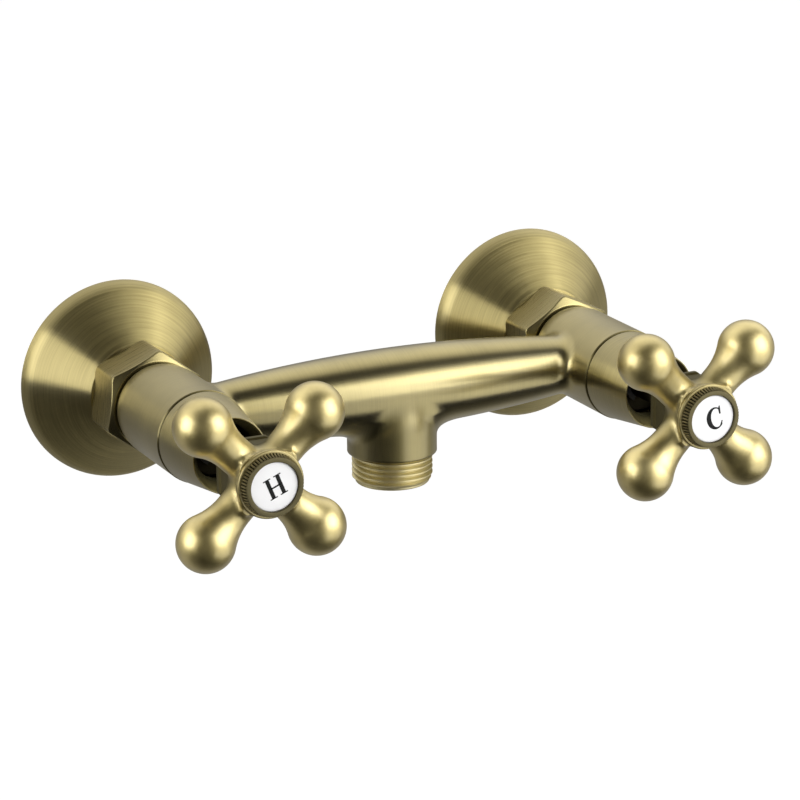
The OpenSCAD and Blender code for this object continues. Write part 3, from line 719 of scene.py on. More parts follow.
class Tree(Graph):
    """Writes a Geometry Nodes tree and runs it once."""

    def __init__(self, name: str, sizes: dict[str, float]) -> None:
        """Starts a tree with named inputs.

        Args:
            name: Name of the tree.
            sizes: Name and value of each size input.
        """
        super().__init__(bpy.data.node_groups.new(name, "GeometryNodeTree"))
        self.values: dict[str, object] = dict(sizes)
        face = self.tree.interface
        for key, value in sizes.items():
            kind = "NodeSocketInt" if isinstance(value, int) else "NodeSocketFloat"
            face.new_socket(key, in_out="INPUT", socket_type=kind)
        face.new_socket("Finish", in_out="INPUT", socket_type="NodeSocketMaterial")
        face.new_socket("Geometry", in_out="OUTPUT", socket_type="NodeSocketGeometry")
        self.of = self.add("NodeGroupInput").outputs

    def run(self, geometry: Socket, finish: Material) -> bpy.types.Mesh:
        """Ends the tree and runs it once.

        Args:
            geometry: The shape that the tree makes.
            finish: Its material.

        Returns:
            The shape as a plain mesh, in the tree's own units.
        """
        self.values["Finish"] = finish
        real = self.add("GeometryNodeRealizeInstances", {"Geometry": geometry})
        inputs = {"Geometry": real.outputs[0], "Material": self.of["Finish"]}
        done = self.add("GeometryNodeSetMaterial", inputs)
        self.add("NodeGroupOutput", {"Geometry": done.outputs[0]})
        holder = bpy.data.objects.new(self.tree.name, bpy.data.meshes.new(self.tree.name))
        bpy.context.scene.collection.objects.link(holder)
        modifier = holder.modifiers.new("shape", "NODES")
        modifier.node_group = self.tree
        for item in self.tree.interface.items_tree:
            if item.in_out == "INPUT":
                modifier[item.identifier] = self.values[item.name]
        graph = bpy.context.evaluated_depsgraph_get()
        mesh = bpy.data.meshes.new_from_object(holder.evaluated_get(graph))
        bpy.data.objects.remove(holder)
        return mesh


def knurl(rear_r: float, front_r: float, tooth: float, start: float, length: float, count: int,
          finish: Material) -> bpy.types.Mesh:
    """Half round teeth that lie on a cone round the local axis.

    Args:
        rear_r: Radius of the circle of tooth axes at the start.
        front_r: Radius of that circle at the end.
        tooth: Radius of a tooth.
        start: Distance at which the teeth start.
        length: Length of the teeth along the axis.
        count: Number of teeth.
        finish: Their material.

    Returns:
        The teeth.
    """
    tree = Tree("knurl", {"Rear radius": rear_r, "Front radius": front_r, "Tooth": tooth, "Start": start,
                          "Length": length, "Count": count})
    of, calc = tree.of, tree.math
    fall = calc("SUBTRACT", of["Rear radius"], of["Front radius"])
    slope = calc("ARCTAN2", fall, of["Length"])
    bar = tree.add("GeometryNodeMeshCylinder", {
        "Vertices": 10, "Side Segments": 1, "Radius": of["Tooth"],
        "Depth": calc("DIVIDE", of["Length"], calc("COSINE", slope))})
    middle_r = calc("SUBTRACT", of["Rear radius"], calc("MULTIPLY", fall, 0.5))
    along = calc("ADD", of["Start"], calc("MULTIPLY", of["Length"], 0.5))
    laid = tree.add("GeometryNodeTransform", {
        "Geometry": bar.outputs["Mesh"], "Translation": tree.vector(middle_r, 0.0, along),
        "Rotation": tree.vector(y=calc("MULTIPLY", slope, -1.0))})
    points = tree.add("GeometryNodePoints", {"Count": of["Count"]})
    turn = calc("MULTIPLY", tree.add("GeometryNodeInputIndex").outputs[0], 2 * math.pi)
    teeth = tree.add("GeometryNodeInstanceOnPoints", {
        "Points": points.outputs[0], "Instance": laid.outputs[0],
        "Rotation": tree.vector(z=calc("DIVIDE", turn, of["Count"]))})
    return tree.run(teeth.outputs[0], finish)


# Shares of a thread's pitch
RIDGE_HEIGHT, RIDGE_ROOT, RIDGE_CREST = 0.6, 0.92, 0.22


def thread(crest: float, pitch: float, start: float, length: float, chamfer: float,
           finish: Material) -> bpy.types.Mesh:
    """One ridge of a thread that winds round the local axis.

    Args:
        crest: Radius of the thread's crest.
        pitch: Distance between two turns.
        start: Distance at which the thread starts.
        length: Length of the thread.
        chamfer: Size of the chamfer at its far end.
        finish: Its material.

    Returns:
        The ridge.
    """
    tree = Tree("thread", {"Crest": crest, "Pitch": pitch, "Start": start, "Length": length,
                           "Chamfer": chamfer})
    of, calc = tree.of, tree.math
    high = calc("MULTIPLY", of["Pitch"], RIDGE_HEIGHT)
    middle_r = calc("SUBTRACT", of["Crest"], calc("MULTIPLY", high, 0.5))
    spiral = tree.add("GeometryNodeCurveSpiral", {
        "Resolution": 96, "Rotations": calc("DIVIDE", of["Length"], of["Pitch"]),
        "Start Radius": middle_r, "End Radius": middle_r, "Height": of["Length"]})
    upright = tree.add("GeometryNodeSetCurveNormal", {"Curve": spiral.outputs[0]}, mode="Z_UP")
    ridge = tree.add("GeometryNodeCurvePrimitiveQuadrilateral", {
        "Bottom Width": calc("MULTIPLY", of["Pitch"], RIDGE_ROOT),
        "Top Width": calc("MULTIPLY", of["Pitch"], RIDGE_CREST),
        "Height": high, "Offset": 0.0}, mode="TRAPEZOID")
    turned = tree.add("GeometryNodeTransform", {
        "Geometry": ridge.outputs[0], "Rotation": (0.0, 0.0, math.radians(90))})
    swept = tree.add("GeometryNodeCurveToMesh", {
        "Curve": upright.outputs[0], "Profile Curve": turned.outputs[0], "Fill Caps": True})
    x, y, z = tree.parts(tree.add("GeometryNodeInputPosition").outputs[0])
    far = tree.add("ShaderNodeVectorMath", {0: tree.vector(x, y)}, operation="LENGTH").outputs["Value"]
    over = calc("SUBTRACT", z, calc("SUBTRACT", of["Length"], of["Chamfer"]))
    limit = calc("SUBTRACT", of["Crest"], calc("MAXIMUM", over, 0.0))
    share = calc("MINIMUM", calc("DIVIDE", limit, far), 1.0)
    target = tree.vector(calc("MULTIPLY", x, share), calc("MULTIPLY", y, share), calc("ADD", z, of["Start"]))
    trimmed = tree.add("GeometryNodeSetPosition", {"Geometry": swept.outputs[0], "Position": target})
    return tree.run(trimmed.outputs[0], finish)


# ---------------------------------------------------------------- pieces

def slot_of(node: str) -> str:
    """Material slot that the record gives a CAD node."""
    return next(part["material_slot"] for part in frame["record"]["subparts"] if part["node"] == node)


def stand_for(piece: Object, body: str, node: str) -> None:
    """Lets a finished piece stand for a CAD node.

    Args:
        piece: The piece.
        body: Body it rides on.
        node: CAD node that it replaces.
    """
    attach(piece, body)
    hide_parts(node)
    slot_of(node)
    log.info("%s: %d faces", piece.name, len(piece.data.polygons))


def add_values(mesh: bpy.types.Mesh, name: str, values: np.ndarray) -> None:
    """Gives a mesh an attribute with a number or a vector for each vertex."""
    kind, key = ("FLOAT", "value") if values.ndim == 1 else ("FLOAT_VECTOR", "vector")
    mesh.attributes.new(name, kind, "POINT").data.foreach_set(key, values.astype(np.float32).ravel())


def lathe_piece(name: str, place: Matrix, profile: Profile, finish: Material, steps: int,
                patina: Callable[[float, float], float] | None = None, outline: Outline | None = None,
                extra: bpy.types.Mesh | None = None) -> Object:
    """Makes a piece by turning a closed profile round its axis.

    Args:
        name: Name of the piece.
        place: Local frame on the axis.
        profile: Points of radius and distance, in millimetres.
        finish: Its material.
        steps: Steps round the axis.
        patina: Darkness from 0 to 1 at a radius and distance, for dark oxide and painted shade.
        outline: Optional change of a point by its angle.
        extra: A mesh in the same local frame that belongs to the piece.

    Returns:
        The new object.
    """
    bm = bmesh.new()
    add_lathe(bm, profile, steps, outline=outline)
    if extra:
        bm.from_mesh(extra)
    shade = bm.verts.layers.float.new(PATINA_AND_SHADE)
    if patina:
        for vert in bm.verts:
            vert[shade] = patina(math.hypot(vert.co.x, vert.co.y), vert.co.z)
    return dress(settle(bm, name, place), finish)


@dataclass
class SidePiece:
    """A piece of one supply that stands for a CAD node.

    Attributes:
        side: The supply.
        finishes: Every finish by its name.
    """

    side: Side
    finishes: dict[str, Material]
    kind = ""
    turns = False

    @property
    def node(self) -> str:
        """Name of the CAD node."""
        return self.side.node(self.kind)

    def stand(self, piece: Object) -> None:
        """Lets a finished piece stand for the CAD node."""
        stand_for(piece, self.side.body if self.turns else FIXED_BODY, self.node)

    def lathe(self, name: str, profile: Profile, finish: str, steps: int, **more: object) -> None:
        """Turns a profile round the inlet's axis and lets it stand for the CAD node.

        Args:
            name: Name of the piece without its side.
            profile: Points of radius and distance from the wall.
            finish: Name of its finish.
            steps: Steps round the axis.
            **more: What else lathe_piece takes.
        """
        place = inlet_place(self.side)
        self.stand(lathe_piece(self.side.node(name), place, profile, self.finishes[finish], steps, **more))


@dataclass
class WallFlange(SidePiece):
    """Cone flange on the wall, with a rolled rim."""

    rim_r: float = 8.0
    front_r: float = 16.3
    sheet: float = 1.2
    hole_gap: float = 0.2
    union_r: float = 13.22
    edge_r: float = 0.5
    kind = "wall_flange"

    def _skin(self, inset: float, front_r: float, front: float) -> Profile:
        """Rim arc and cone, from the wall to the front.

        Args:
            inset: Distance inside the flange's outside.
            front_r: Radius at the front.
            front: Distance of the front from the wall.

        Returns:
            The profile.
        """
        low, high = span(self.node, 0)
        centre, radius = (high - low) / 2 - self.rim_r, self.rim_r - inset
        reach = math.hypot(front_r - centre, front)
        leave = math.degrees(math.atan2(front, front_r - centre)) - math.degrees(math.acos(radius / reach))
        points = arc(centre, 0.0, radius, 0, leave, 24)
        return points + way(points[-1], (front_r, front), 4)

    def build(self) -> None:
        """Builds the flange."""
        front = depth(self.node)[1]
        back, hole = front - self.sheet, self.union_r + self.hole_gap
        outer = rounded(self._skin(0.0, self.front_r, front), self.edge_r, closed=False)
        inner = self._skin(self.sheet, self.front_r - self.sheet / 2, back)
        self.lathe("flange_skin", outer + [(hole, front), (hole, back)] + inner[::-1], "flange_brushed", 192)


@dataclass
class UnionNut(SidePiece):
    """Hexagon union nut with turned ends."""

    turn: float
    across: float = 31.0
    front_r: float = 14.7
    back_r: float = 17.2
    slope: float = math.tan(math.radians(30))
    corner: float = 0.35
    soft: float = 0.3
    lip_r: float = 10.78
    bevel: float = 0.3
    lip_shade: float = 0.85
    kind = "union_nut"

    def _outline(self, r: float, d: float, angle: float) -> Point:
        """Trims a round outside to the six flats.

        Args:
            r: Radius of a point.
            d: Its distance from the wall.
            angle: Its angle round the axis.

        Returns:
            The trimmed radius and the distance.
        """
        if r < self.lip_r + 0.5:
            return r, d
        sixth = math.pi / 3
        local = (angle - math.pi / 2 - math.radians(self.turn)) % sixth - sixth / 2
        flat = self.across / 2 / math.cos(local)
        tip = self.across / 2 / math.cos(sixth / 2) - self.corner
        for limit in (tip, flat):
            share = min(max(0.5 + 0.5 * (limit - r) / self.soft, 0.0), 1.0)
            r = limit * (1 - share) + r * share - self.soft * share * (1 - share)
        return r, d

    def build(self) -> None:
        """Builds the nut."""
        rear, front = depth(self.node)
        tip = self.across / 2 / math.cos(math.pi / 6)
        flats_from = rear + (tip - self.back_r) * self.slope
        flats_to = front - (tip - self.front_r) * self.slope
        profile = [
            (self.lip_r, rear + 2 * self.bevel), (self.across / 2 - self.bevel, rear), (self.back_r, rear)]
        for end, steps in (((tip, flats_from), 4), ((tip, flats_to), 6), ((self.front_r, front), 14)):
            profile += way(profile[-1], end, steps)
        profile += [
            (self.front_r - 0.25, front), (self.lip_r + self.bevel, front), (self.lip_r, front - self.bevel)]
        # The inner lip round the hole is darkened, as painted shade in the gap.
        self.lathe("union_nut_skin", profile, "nut_brushed", 288, outline=self._outline,
                   patina=lambda r, d: self.lip_shade if r < self.lip_r + 0.4 else 0.0)


@dataclass(frozen=True)
class OpenEnd:
    """Flat face at an open end of the casting, with its hole.

    Attributes:
        edge: Steps of radius and depth from the skin to the face.
        hole_r: Radius of the hole.
        bevel: Width of the bevel at its edge.
    """

    edge: Sequence[Point]
    hole_r: float
    bevel: float = 0.3
    bevel_depth = 0.3
    hole_depth = 1.2

    def profile(self, outer_r: float, face: float, inward: int) -> Profile:
        """Rings from the skin, over the face and into the hole.

        Args:
            outer_r: Radius of the skin at this end.
            face: Distance of the face along the end's axis.
            inward: 1 if the hole runs on along the axis, -1 if it runs back.

        Returns:
            Radius and distance of each ring.
        """
        rings = [(outer_r + step, deep) for step, deep in self.edge] + [
            (self.hole_r + self.bevel, 0.0), (self.hole_r, self.bevel_depth), (self.hole_r, self.hole_depth)]
        return [(r, face + inward * deep) for r, deep in rings]


@dataclass
class Casting:
    """One casting: two branches, the bowed bridge and the outlet boss, blended."""

    finishes: dict[str, Material]
    shoulder_len: float = 6.6
    rear_r: float = 14.05
    chamfer: float = 0.45
    bridge_mid_r: float = 13.35
    bow_r: float = 507.0
    boss_r: float = 14.7
    branch_blend: float = 5.0
    branch_ease: float = 0.75
    boss_blend: float = 9.0
    boss_ease: float = 0.55
    boss_blend_depth: float = 7.0
    boss_squash: float = 2.2
    least_blend: float = 0.05
    line_blend: float = 1.6
    cell: float = 0.6
    rear_end = OpenEnd(((-0.08, 0.12), (-0.3, 0.0)), 10.5)
    front_end = OpenEnd(((0.0, 0.02), (-0.1, 0.0)), 12.3, 0.2)
    boss_end = OpenEnd(((-0.1, 0.1), (-0.32, 0.0)), 10.1)

    def __post_init__(self) -> None:
        """Takes the main places from the CAD nodes."""
        self.height = axis_height()
        self.rear, self.front = depth("mixer_body")
        self.out = -middle("outlet_nipple", 1)
        self.face, self.branch_r = (end - self.height for end in span("mixer_body", 2))
        self.half = middle(Side.COLD.node("sleeve"), 0)
        rise = self.branch_r - self.rear_r
        self.shoulder_r = (self.shoulder_len ** 2 + rise ** 2) / (2 * rise)

    def _shapes(self, points: np.ndarray) -> tuple[np.ndarray, ...]:
        """Measures the three forms, before they are blended.

        Args:
            points: Places that run right, up and outwards, in local millimetres.

        Returns:
            Distances to the branches, the bridge and the boss, and how alike the walls of
            bridge and branch, and of bridge and boss, stand.
        """
        x, h, d = points.T
        side, out = self.half - np.abs(x), d - self.out
        branch_at, bridge_at = np.hypot(side, h), np.hypot(out, h)
        back = np.clip(self.rear + self.shoulder_len - d, 0, self.shoulder_len + 3)
        branch = branch_at - (self.branch_r - self.shoulder_r + np.sqrt(self.shoulder_r ** 2 - back ** 2))
        bridge = bridge_at - (self.bridge_mid_r - self.bow_r + np.sqrt(self.bow_r ** 2 - x ** 2))
        bridge = np.maximum(bridge, -side)
        sunk = np.clip(-h / self.bridge_mid_r, 0, 1)
        deep = self.bridge_mid_r + (self.boss_r - self.bridge_mid_r) * sunk * sunk * (3 - 2 * sunk)
        boss = np.maximum(np.hypot(x, out * self.boss_r / deep) - self.boss_r, h)
        like_branch = np.abs(h * h) / (branch_at * bridge_at + TINY)
        like_boss = out * out / (np.hypot(x, out) * bridge_at + TINY)
        return branch, bridge, boss, like_branch, like_boss

    def distance(self, points: np.ndarray) -> np.ndarray:
        """Distance to the whole casting, negative inside.

        Args:
            points: Places in local millimetres.

        Returns:
            Their distances.
        """
        branch, bridge, boss, like_branch, like_boss = self._shapes(points)
        arms = smooth_union(bridge, branch, self.branch_blend * (1 - self.branch_ease * like_branch))
        below = np.clip(-points[:, 1] / self.boss_blend_depth, 0, 1)
        width = self.boss_blend * (1 - self.boss_ease * like_boss) * below + self.least_blend
        return smooth_union(arms * self.boss_squash, boss, width)

    def _close(self, bm: BMesh) -> None:
        """Closes the rims left by the cuts.

        Args:
            bm: The mesh in local millimetres.
        """
        for loop in rim_loops(bm):
            at = sum((v.co for v in loop), Vector()) / len(loop)
            centre, down = Vector((math.copysign(self.half, at.x), 0, 0)), False
            if at.z < self.rear + 2:
                rim = self.rear_end.profile(self.rear_r, self.rear, 1)
            elif at.z > self.front - 2:
                rim = self.front_end.profile(self.branch_r - self.chamfer, self.front, -1)
            else:
                centre, down = Vector((0, 0, self.out)), True
                rim = self.boss_end.profile(self.boss_r, -self.face, -1)
            carry_rim(bm, loop, centre, down, rim)

    def build(self) -> None:
        """Builds the casting."""
        margin, end_margin, cut = 1.5, 2.4, 0.3
        wide = self.half + self.branch_r + margin
        low = (-wide, self.face - 2 * margin, self.rear - end_margin)
        high = (wide, self.branch_r + margin, self.front + end_margin)
        bm = surface_net(self.distance, low, high, self.cell)
        for at, outwards in (((0, 0, self.rear + cut), (0, 0, -1)),
                             ((0, 0, self.front - self.chamfer), (0, 0, 1)),
                             ((0, self.face + cut, 0), (0, -1, 0))):
            bmesh.ops.bisect_plane(
                bm, geom=bm.verts[:] + bm.edges[:] + bm.faces[:], dist=1e-5, plane_co=at, plane_no=outwards,
                clear_outer=True)
        self._close(bm)
        local = np.array([v.co[:] for v in bm.verts])
        solid = settle(bm, "casting_skin", local_frame((0, 0, self.height)))
        branch, bridge, boss, _, _ = self._shapes(local)
        weight = np.clip(0.5 + 0.5 * (np.minimum(bridge, boss) - branch) / self.line_blend, 0, 1)
        stretch = np.stack([1 - weight, weight, np.zeros_like(weight)], 1)
        # Painted shade on the ends that meet the nuts and sleeves.
        sunk = (local[:, 2] > self.front - 0.12) | (local[:, 2] < self.rear + 0.25)
        add_values(solid, "branch", weight)
        add_values(solid, PATINA_AND_SHADE, sunk * 0.9)
        add_values(solid, "stretch", stretch / np.linalg.norm(stretch, axis=1, keepdims=True))
        stand_for(dress(solid, self.finishes["casting_brushed"]), FIXED_BODY, "mixer_body")


@dataclass
class OutletNipple:
    """Threaded outlet under the bridge."""

    finishes: dict[str, Material]
    crest: float = 13.22
    pitch: float = 1.814
    chamfer: float = 0.9
    end_bevel: float = 0.35
    bore: float = 7.0
    key: float = 7.5
    key_bevel: float = 0.4
    key_depth: float = 6.0
    sunk: float = 1.0

    def _patina(self, r: float, root: float) -> float:
        """Painted shade: deep in the key's socket, slight between the ridges at the root."""
        return 0.7 if r < self.key + 0.2 else 0.15 * (abs(r - root) < 0.05)

    def build(self) -> None:
        """Builds the nipple with its thread."""
        height, bare = axis_height(), self.finishes["bare_brass"]
        top, end = (height - span(node, 2)[0] for node in ("mixer_body", "outlet_nipple"))
        root, shelf = self.crest - self.pitch * RIDGE_HEIGHT, end - self.key_depth
        profile = [
            (root, top - self.sunk), (root, end - self.end_bevel), (root - self.end_bevel, end),
            (self.key + self.key_bevel, end), (self.key, end - self.key_bevel), (self.key, shelf),
            (self.bore, shelf), (self.bore, top - self.sunk),
        ]
        run = end - top + self.pitch / 2 - 0.15
        ridge = thread(self.crest, self.pitch, top - self.pitch, run, self.chamfer, bare)
        place = local_frame((0.0, middle("outlet_nipple", 1), height), DOWNWARDS)
        piece = lathe_piece("outlet_nipple_skin", place, rounded(profile, 0.2), bare, 128,
                            patina=lambda r, d: self._patina(r, root), extra=ridge)
        stand_for(piece, FIXED_BODY, "outlet_nipple")


@dataclass
class TaperedSleeve(SidePiece):
    """Sleeve over the headwork, open towards the handle."""

    rear_r: float = 14.85
    front_r: float = 12.2
    chamfer: float = 0.4
    lip: float = 0.35
    bevel: float = 1.0
    bevel_width: float = 0.6
    mouth_r: float = 9.35
    throat: tuple[float, float] = (4.6, 9.0)
    cavity_r: float = 12.4
    cavity_from: float = 12.0
    kind = "sleeve"

    def build(self) -> None:
        """Builds the sleeve."""
        rear, front = depth(self.node)
        rim = self.front_r - self.lip
        inner = rim - self.bevel * self.bevel_width
        profile = [
            (self.cavity_r, rear), (self.rear_r - self.chamfer, rear), (self.rear_r, rear + self.chamfer),
            (self.front_r, front), (rim, front), (inner, front - self.bevel),
            *((self.mouth_r, front - deep) for deep in self.throat),
            (self.cavity_r, front - self.cavity_from),
        ]

        def patina(r: float, d: float) -> float:
            """Painted shade: dark in the mouth and on the edge at the seam."""
            if r < inner + 0.25:
                return min(1.0, max(0.0, (front - 0.3 - d) / 1.2))
            return 0.9 if d < rear + 0.2 else 0.0

        self.lathe("sleeve_skin", rounded(profile, 0.12, 3), "sleeve_brushed", 192, patina=patina)


RING_RISE = 3.0


@dataclass
class CrossHandle(SidePiece):
    """Four armed handle with a square hub, blended in one skin."""

    flat: float = 8.7
    corner_r: float = 11.4
    rim_len: float = 1.8
    panel: float = 0.55
    panel_step: float = 0.4
    lip_r: float = 10.7
    lip_len: float = 1.8
    lip_cover: float = 0.7
    cone_len: float = 3.2
    cone_power: float = 1.6
    neck_r: float = 5.8
    neck_at: float = 12.5
    knob_r: float = 9.1
    arm_out: float = 13.4
    arm_from: float = 5.0
    arm_blend: float = 3.5
    hub_blend: float = 2.6
    cone_blend: float = 0.6
    cell: float = 0.42
    kind = "cross_handle"
    turns = True

    def __post_init__(self) -> None:
        """Takes the main places from the CAD nodes."""
        self.rear = depth(self.node)[0]
        self.front = depth(self.side.node("index_ring"))[1] - RING_RISE
        low, high = span(self.node, 0)
        self.reach = ((high - low) / 2 - self.knob_r) * math.sqrt(2)
        run = self.reach - self.neck_at
        self.waist_r = (run ** 2 + self.neck_r ** 2 - self.knob_r ** 2) / (2 * (self.knob_r - self.neck_r))
        self.arm_at = self.rear + self.arm_out

    def _arm(self, along: np.ndarray, away: np.ndarray) -> np.ndarray:
        """Distance to a waisted arm with its round knob.

        Args:
            along: Way along the arm's axis.
            away: Way out from that axis.

        Returns:
            The distances.
        """
        waist_y = self.neck_r + self.waist_r
        waist = self.waist_r - np.hypot(np.maximum(along - self.neck_at, 0), away - waist_y)
        knob = np.hypot(along - self.reach, away) - self.knob_r
        beyond = (along - self.neck_at) * waist_y + (away - waist_y) * (self.reach - self.neck_at) > 0
        return np.maximum(np.where(beyond, knob, waist), self.arm_from - along)

    def _arms(self, points: np.ndarray) -> np.ndarray:
        """Distance to the four arms.

        Args:
            points: Places in local millimetres.

        Returns:
            The distances.
        """
        x, y, d = points.T
        arms = []
        for turn in (math.radians(45), math.radians(135)):
            c, s = math.cos(turn), math.sin(turn)
            arms.append(self._arm(np.abs(x * c + y * s), np.hypot(-x * s + y * c, d - self.arm_at)))
        return smooth_union(*arms, self.arm_blend)

    def distance(self, points: np.ndarray) -> np.ndarray:
        """Distance to the whole handle, negative inside.

        Args:
            points: Places in local millimetres.

        Returns:
            Their distances.
        """
        x, y, d = points.T
        axis_at, lip_rear = np.hypot(x, y), self.front - self.lip_len
        rise = np.clip((d - lip_rear + self.cone_len) / self.cone_len, 0, 1)
        sunk = np.clip((d - self.rear - self.rim_len) / self.panel_step, 0, 1) * (1 - rise * 0.9)
        column = np.maximum(np.abs(x), np.abs(y)) - (self.flat - self.panel * sunk)
        column = np.maximum(column, axis_at - self.corner_r)
        cone_r = self.flat - self.panel_step
        cone = axis_at - (cone_r + (self.lip_r - cone_r) * rise ** self.cone_power)
        hub = smooth_union(column, np.maximum(cone, lip_rear - self.cone_len - d), self.cone_blend)
        over = d - self.front + self.lip_len - self.lip_cover
        hub = np.maximum(hub, np.maximum(over, self.rear - d))
        joined = smooth_union(self._arms(points), hub, self.hub_blend)
        return np.where(axis_at < self.lip_r + self.cone_blend, np.maximum(joined, over), joined)

    def _shade(self, points: np.ndarray, lip_start: float) -> np.ndarray:
        """Painted shade, with some dark oxide, on the blended skin: on the column between the arms, and
        towards the hub, most on its rear side.

        Args:
            points: Places of the skin in local millimetres.
            lip_start: Distance at which the cone under the lip starts.

        Returns:
            The darkness of each point, from 0 to 1.
        """
        x, y, d = points.T
        off_arms = np.clip(self._arms(points) / 0.7, 0, 1)
        band = np.clip((lip_start + 1.4 - d) / 1.4, 0, 1)
        near_hub = np.clip(1 - (np.hypot(x, y) - self.lip_r) / 8.0, 0, 1)
        behind = np.clip((self.arm_at + 4.0 - d) / 6.0, 0, 1)
        return np.maximum(off_arms * band * 0.9, near_hub * (0.2 + 0.6 * behind))

    def build(self) -> None:
        """Builds the handle with its front lip."""
        margin, front_margin, lip_width = 1.5, 1.0, 2.5
        size = self.reach / math.sqrt(2) + self.knob_r + margin
        low, high = (-size, -size, self.rear - margin), (size, size, self.front + front_margin)
        bm = surface_net(self.distance, low, high, self.cell)
        r, f = self.lip_r, self.front
        lip_start = f - self.lip_len - self.cone_len
        shade = self._shade(np.array([v.co[:] for v in bm.verts]), lip_start)
        layer = bm.verts.layers.float.new(PATINA_AND_SHADE)
        for vert, value in zip(bm.verts, shade):
            vert[layer] = value
        lip = [(r - lip_width, f - 1.4), (r - 0.35, f - 1.4), (r, f - 1.0), (r, f - 0.3), (r - 0.3, f),
               (r - lip_width, f)]
        add_lathe(bm, rounded(lip, 0.2, 3), 160)
        # Darkens the lip's front a little, and its rear and the cone under it more, as painted shade.
        for vert in bm.verts:
            if vert.co.z > lip_start + 0.8 and math.hypot(vert.co.x, vert.co.y) < r + 0.1:
                vert[layer] = max(vert[layer], 0.32 if vert.co.z > f - 1.1 else 0.5)
        solid = settle(bm, self.side.node("cross_handle_skin"), inlet_place(self.side))
        self.stand(dress(solid, self.finishes["handle_polished"], 40))


@dataclass
class IndexRing(SidePiece):
    """Knurled ring that holds the index disc."""

    rear_r: float = 9.95
    front_r: float = 9.35
    pocket_r: float = 7.72
    groove: float = 0.5
    tooth: float = 0.27
    count: int = 60
    kind = "index_ring"
    turns = True

    def build(self) -> None:
        """Builds the ring with its teeth."""
        front = depth(self.node)[1]
        rear, sunk = front - RING_RISE, front - RING_RISE - 0.5
        core, nose = self.rear_r - self.groove, self.front_r - self.groove
        profile = [
            (self.pocket_r, sunk), (core, sunk), (core, rear), (nose, front - 0.3),
            (self.front_r - 0.1, front - 0.25), (self.front_r - 0.2, front), (self.pocket_r + 0.15, front),
            (self.pocket_r, front - 0.2),
        ]

        def patina(r: float, d: float) -> float:
            """Painted shade, black between the teeth; brown on the front."""
            if d > front - 0.28:
                return 0.62
            return 1.0 if r < core - (core - nose) * (d - rear) / RING_RISE + 0.05 else 0.0

        teeth = knurl(self.rear_r - self.tooth, self.front_r - self.tooth, self.tooth, rear, RING_RISE - 0.25,
                      self.count, self.finishes["ring_bronze"])
        self.lathe("index_ring_skin", rounded(profile, 0.08, 3), "ring_bronze", 180, patina=patina,
                   extra=teeth)


@dataclass
class IndexDisc(SidePiece):
    """Porcelain disc with the plain letter of its supply."""

    tilt: float
    shift: float
    face_r: float = 7.7
    edge: float = 0.25
    tall: float = 6.6
    thick: float = 0.06
    kind = "index_disc"
    turns = True

    def _strokes(self) -> list[Profile]:
        """Outlines of the letter's strokes, in units of its height, centred."""
        def block(x: float, y: float, half_width: float, half_height: float) -> Profile:
            """Corners of a rectangle round a point."""
            left, right, low, high = x - half_width, x + half_width, y - half_height, y + half_height
            return [(left, low), (right, low), (right, high), (left, high)]

        if self.side is Side.HOT:
            stem_at, serif, strokes = 0.27, 0.025, []
            for x in (-stem_at, stem_at):
                strokes.append(block(x, 0.0, 0.094, 0.5))
                strokes += [block(x, y, 0.19, serif) for y in (serif - 0.5, 0.5 - serif)]
            return strokes + [block(0.0, 0.0, stem_at, 0.038)]
        angles = [math.radians(45 + 270 * i / 28) for i in range(29)]
        outer = [(0.47 * math.cos(a) + 0.02, 0.56 * math.sin(a)) for a in angles]
        inner = [(0.29 * math.cos(a) + 0.085, 0.475 * math.sin(a)) for a in angles]
        bow = [[outer[i], outer[i + 1], inner[i + 1], inner[i]] for i in range(28)]
        hook = [(0.27, 0.14), (0.35, 0.14), (0.37, 0.55), (0.31, 0.55), (0.25, 0.41)]
        foot = [(0.21, -0.44), (0.33, -0.40), (0.39, -0.22), (0.34, -0.20)]
        return bow + [hook, foot]

    def _letter(self, front: float) -> BMesh:
        """Draws the letter a little proud of the porcelain.

        Args:
            front: Distance of the disc's front from the wall.

        Returns:
            The letter as a working mesh.
        """
        bm = bmesh.new()
        c, s = math.cos(math.radians(self.tilt)), math.sin(math.radians(self.tilt))
        for stroke in self._strokes():
            places = [
                (self.shift + self.tall * (x * c - y * s), self.tall * (x * s + y * c)) for x, y in stroke]
            under = [bm.verts.new((*place, front - self.thick * 2)) for place in places]
            upper = [bm.verts.new((*place, front - 0.005)) for place in places]
            bm.faces.new(under[::-1])
            bm.faces.new(upper)
            for j in range(len(stroke)):
                k = (j + 1) % len(stroke)
                bm.faces.new((under[j], under[k], upper[k], upper[j]))
        return bm

    def build(self) -> None:
        """Builds the disc and its letter."""
        rear, front = depth(self.node)
        r, glaze, place = self.face_r, front - self.thick, inlet_place(self.side)
        profile = [
            (0, rear), (r, rear), (r, front - self.edge), (r - self.edge, glaze), (r * 0.5, glaze),
            (0, glaze)]
        disc = bmesh.new()
        add_lathe(disc, profile, 128, closed=False)
        for bm, name, finish in ((disc, "index_disc_skin", "index_porcelain"),
                                 (self._letter(front), "index_letter", "index_print")):
            self.stand(dress(settle(bm, self.side.node(name), place), self.finishes[finish]))


# Hidden brass parts take the near black brass, as painted shade in the cavity.
HIDDEN_FINISHES = {
    "bare_brass": "spindle_brass_painted_shade", "headwork_brass": "spindle_brass_painted_shade", "fibre_rubber": "seal_rubber",
    "seal_rubber": "seal_rubber", "disc_ceramic": "disc_ceramic", "spring_steel": "black_steel",
    "screw_steel": "black_steel",
}


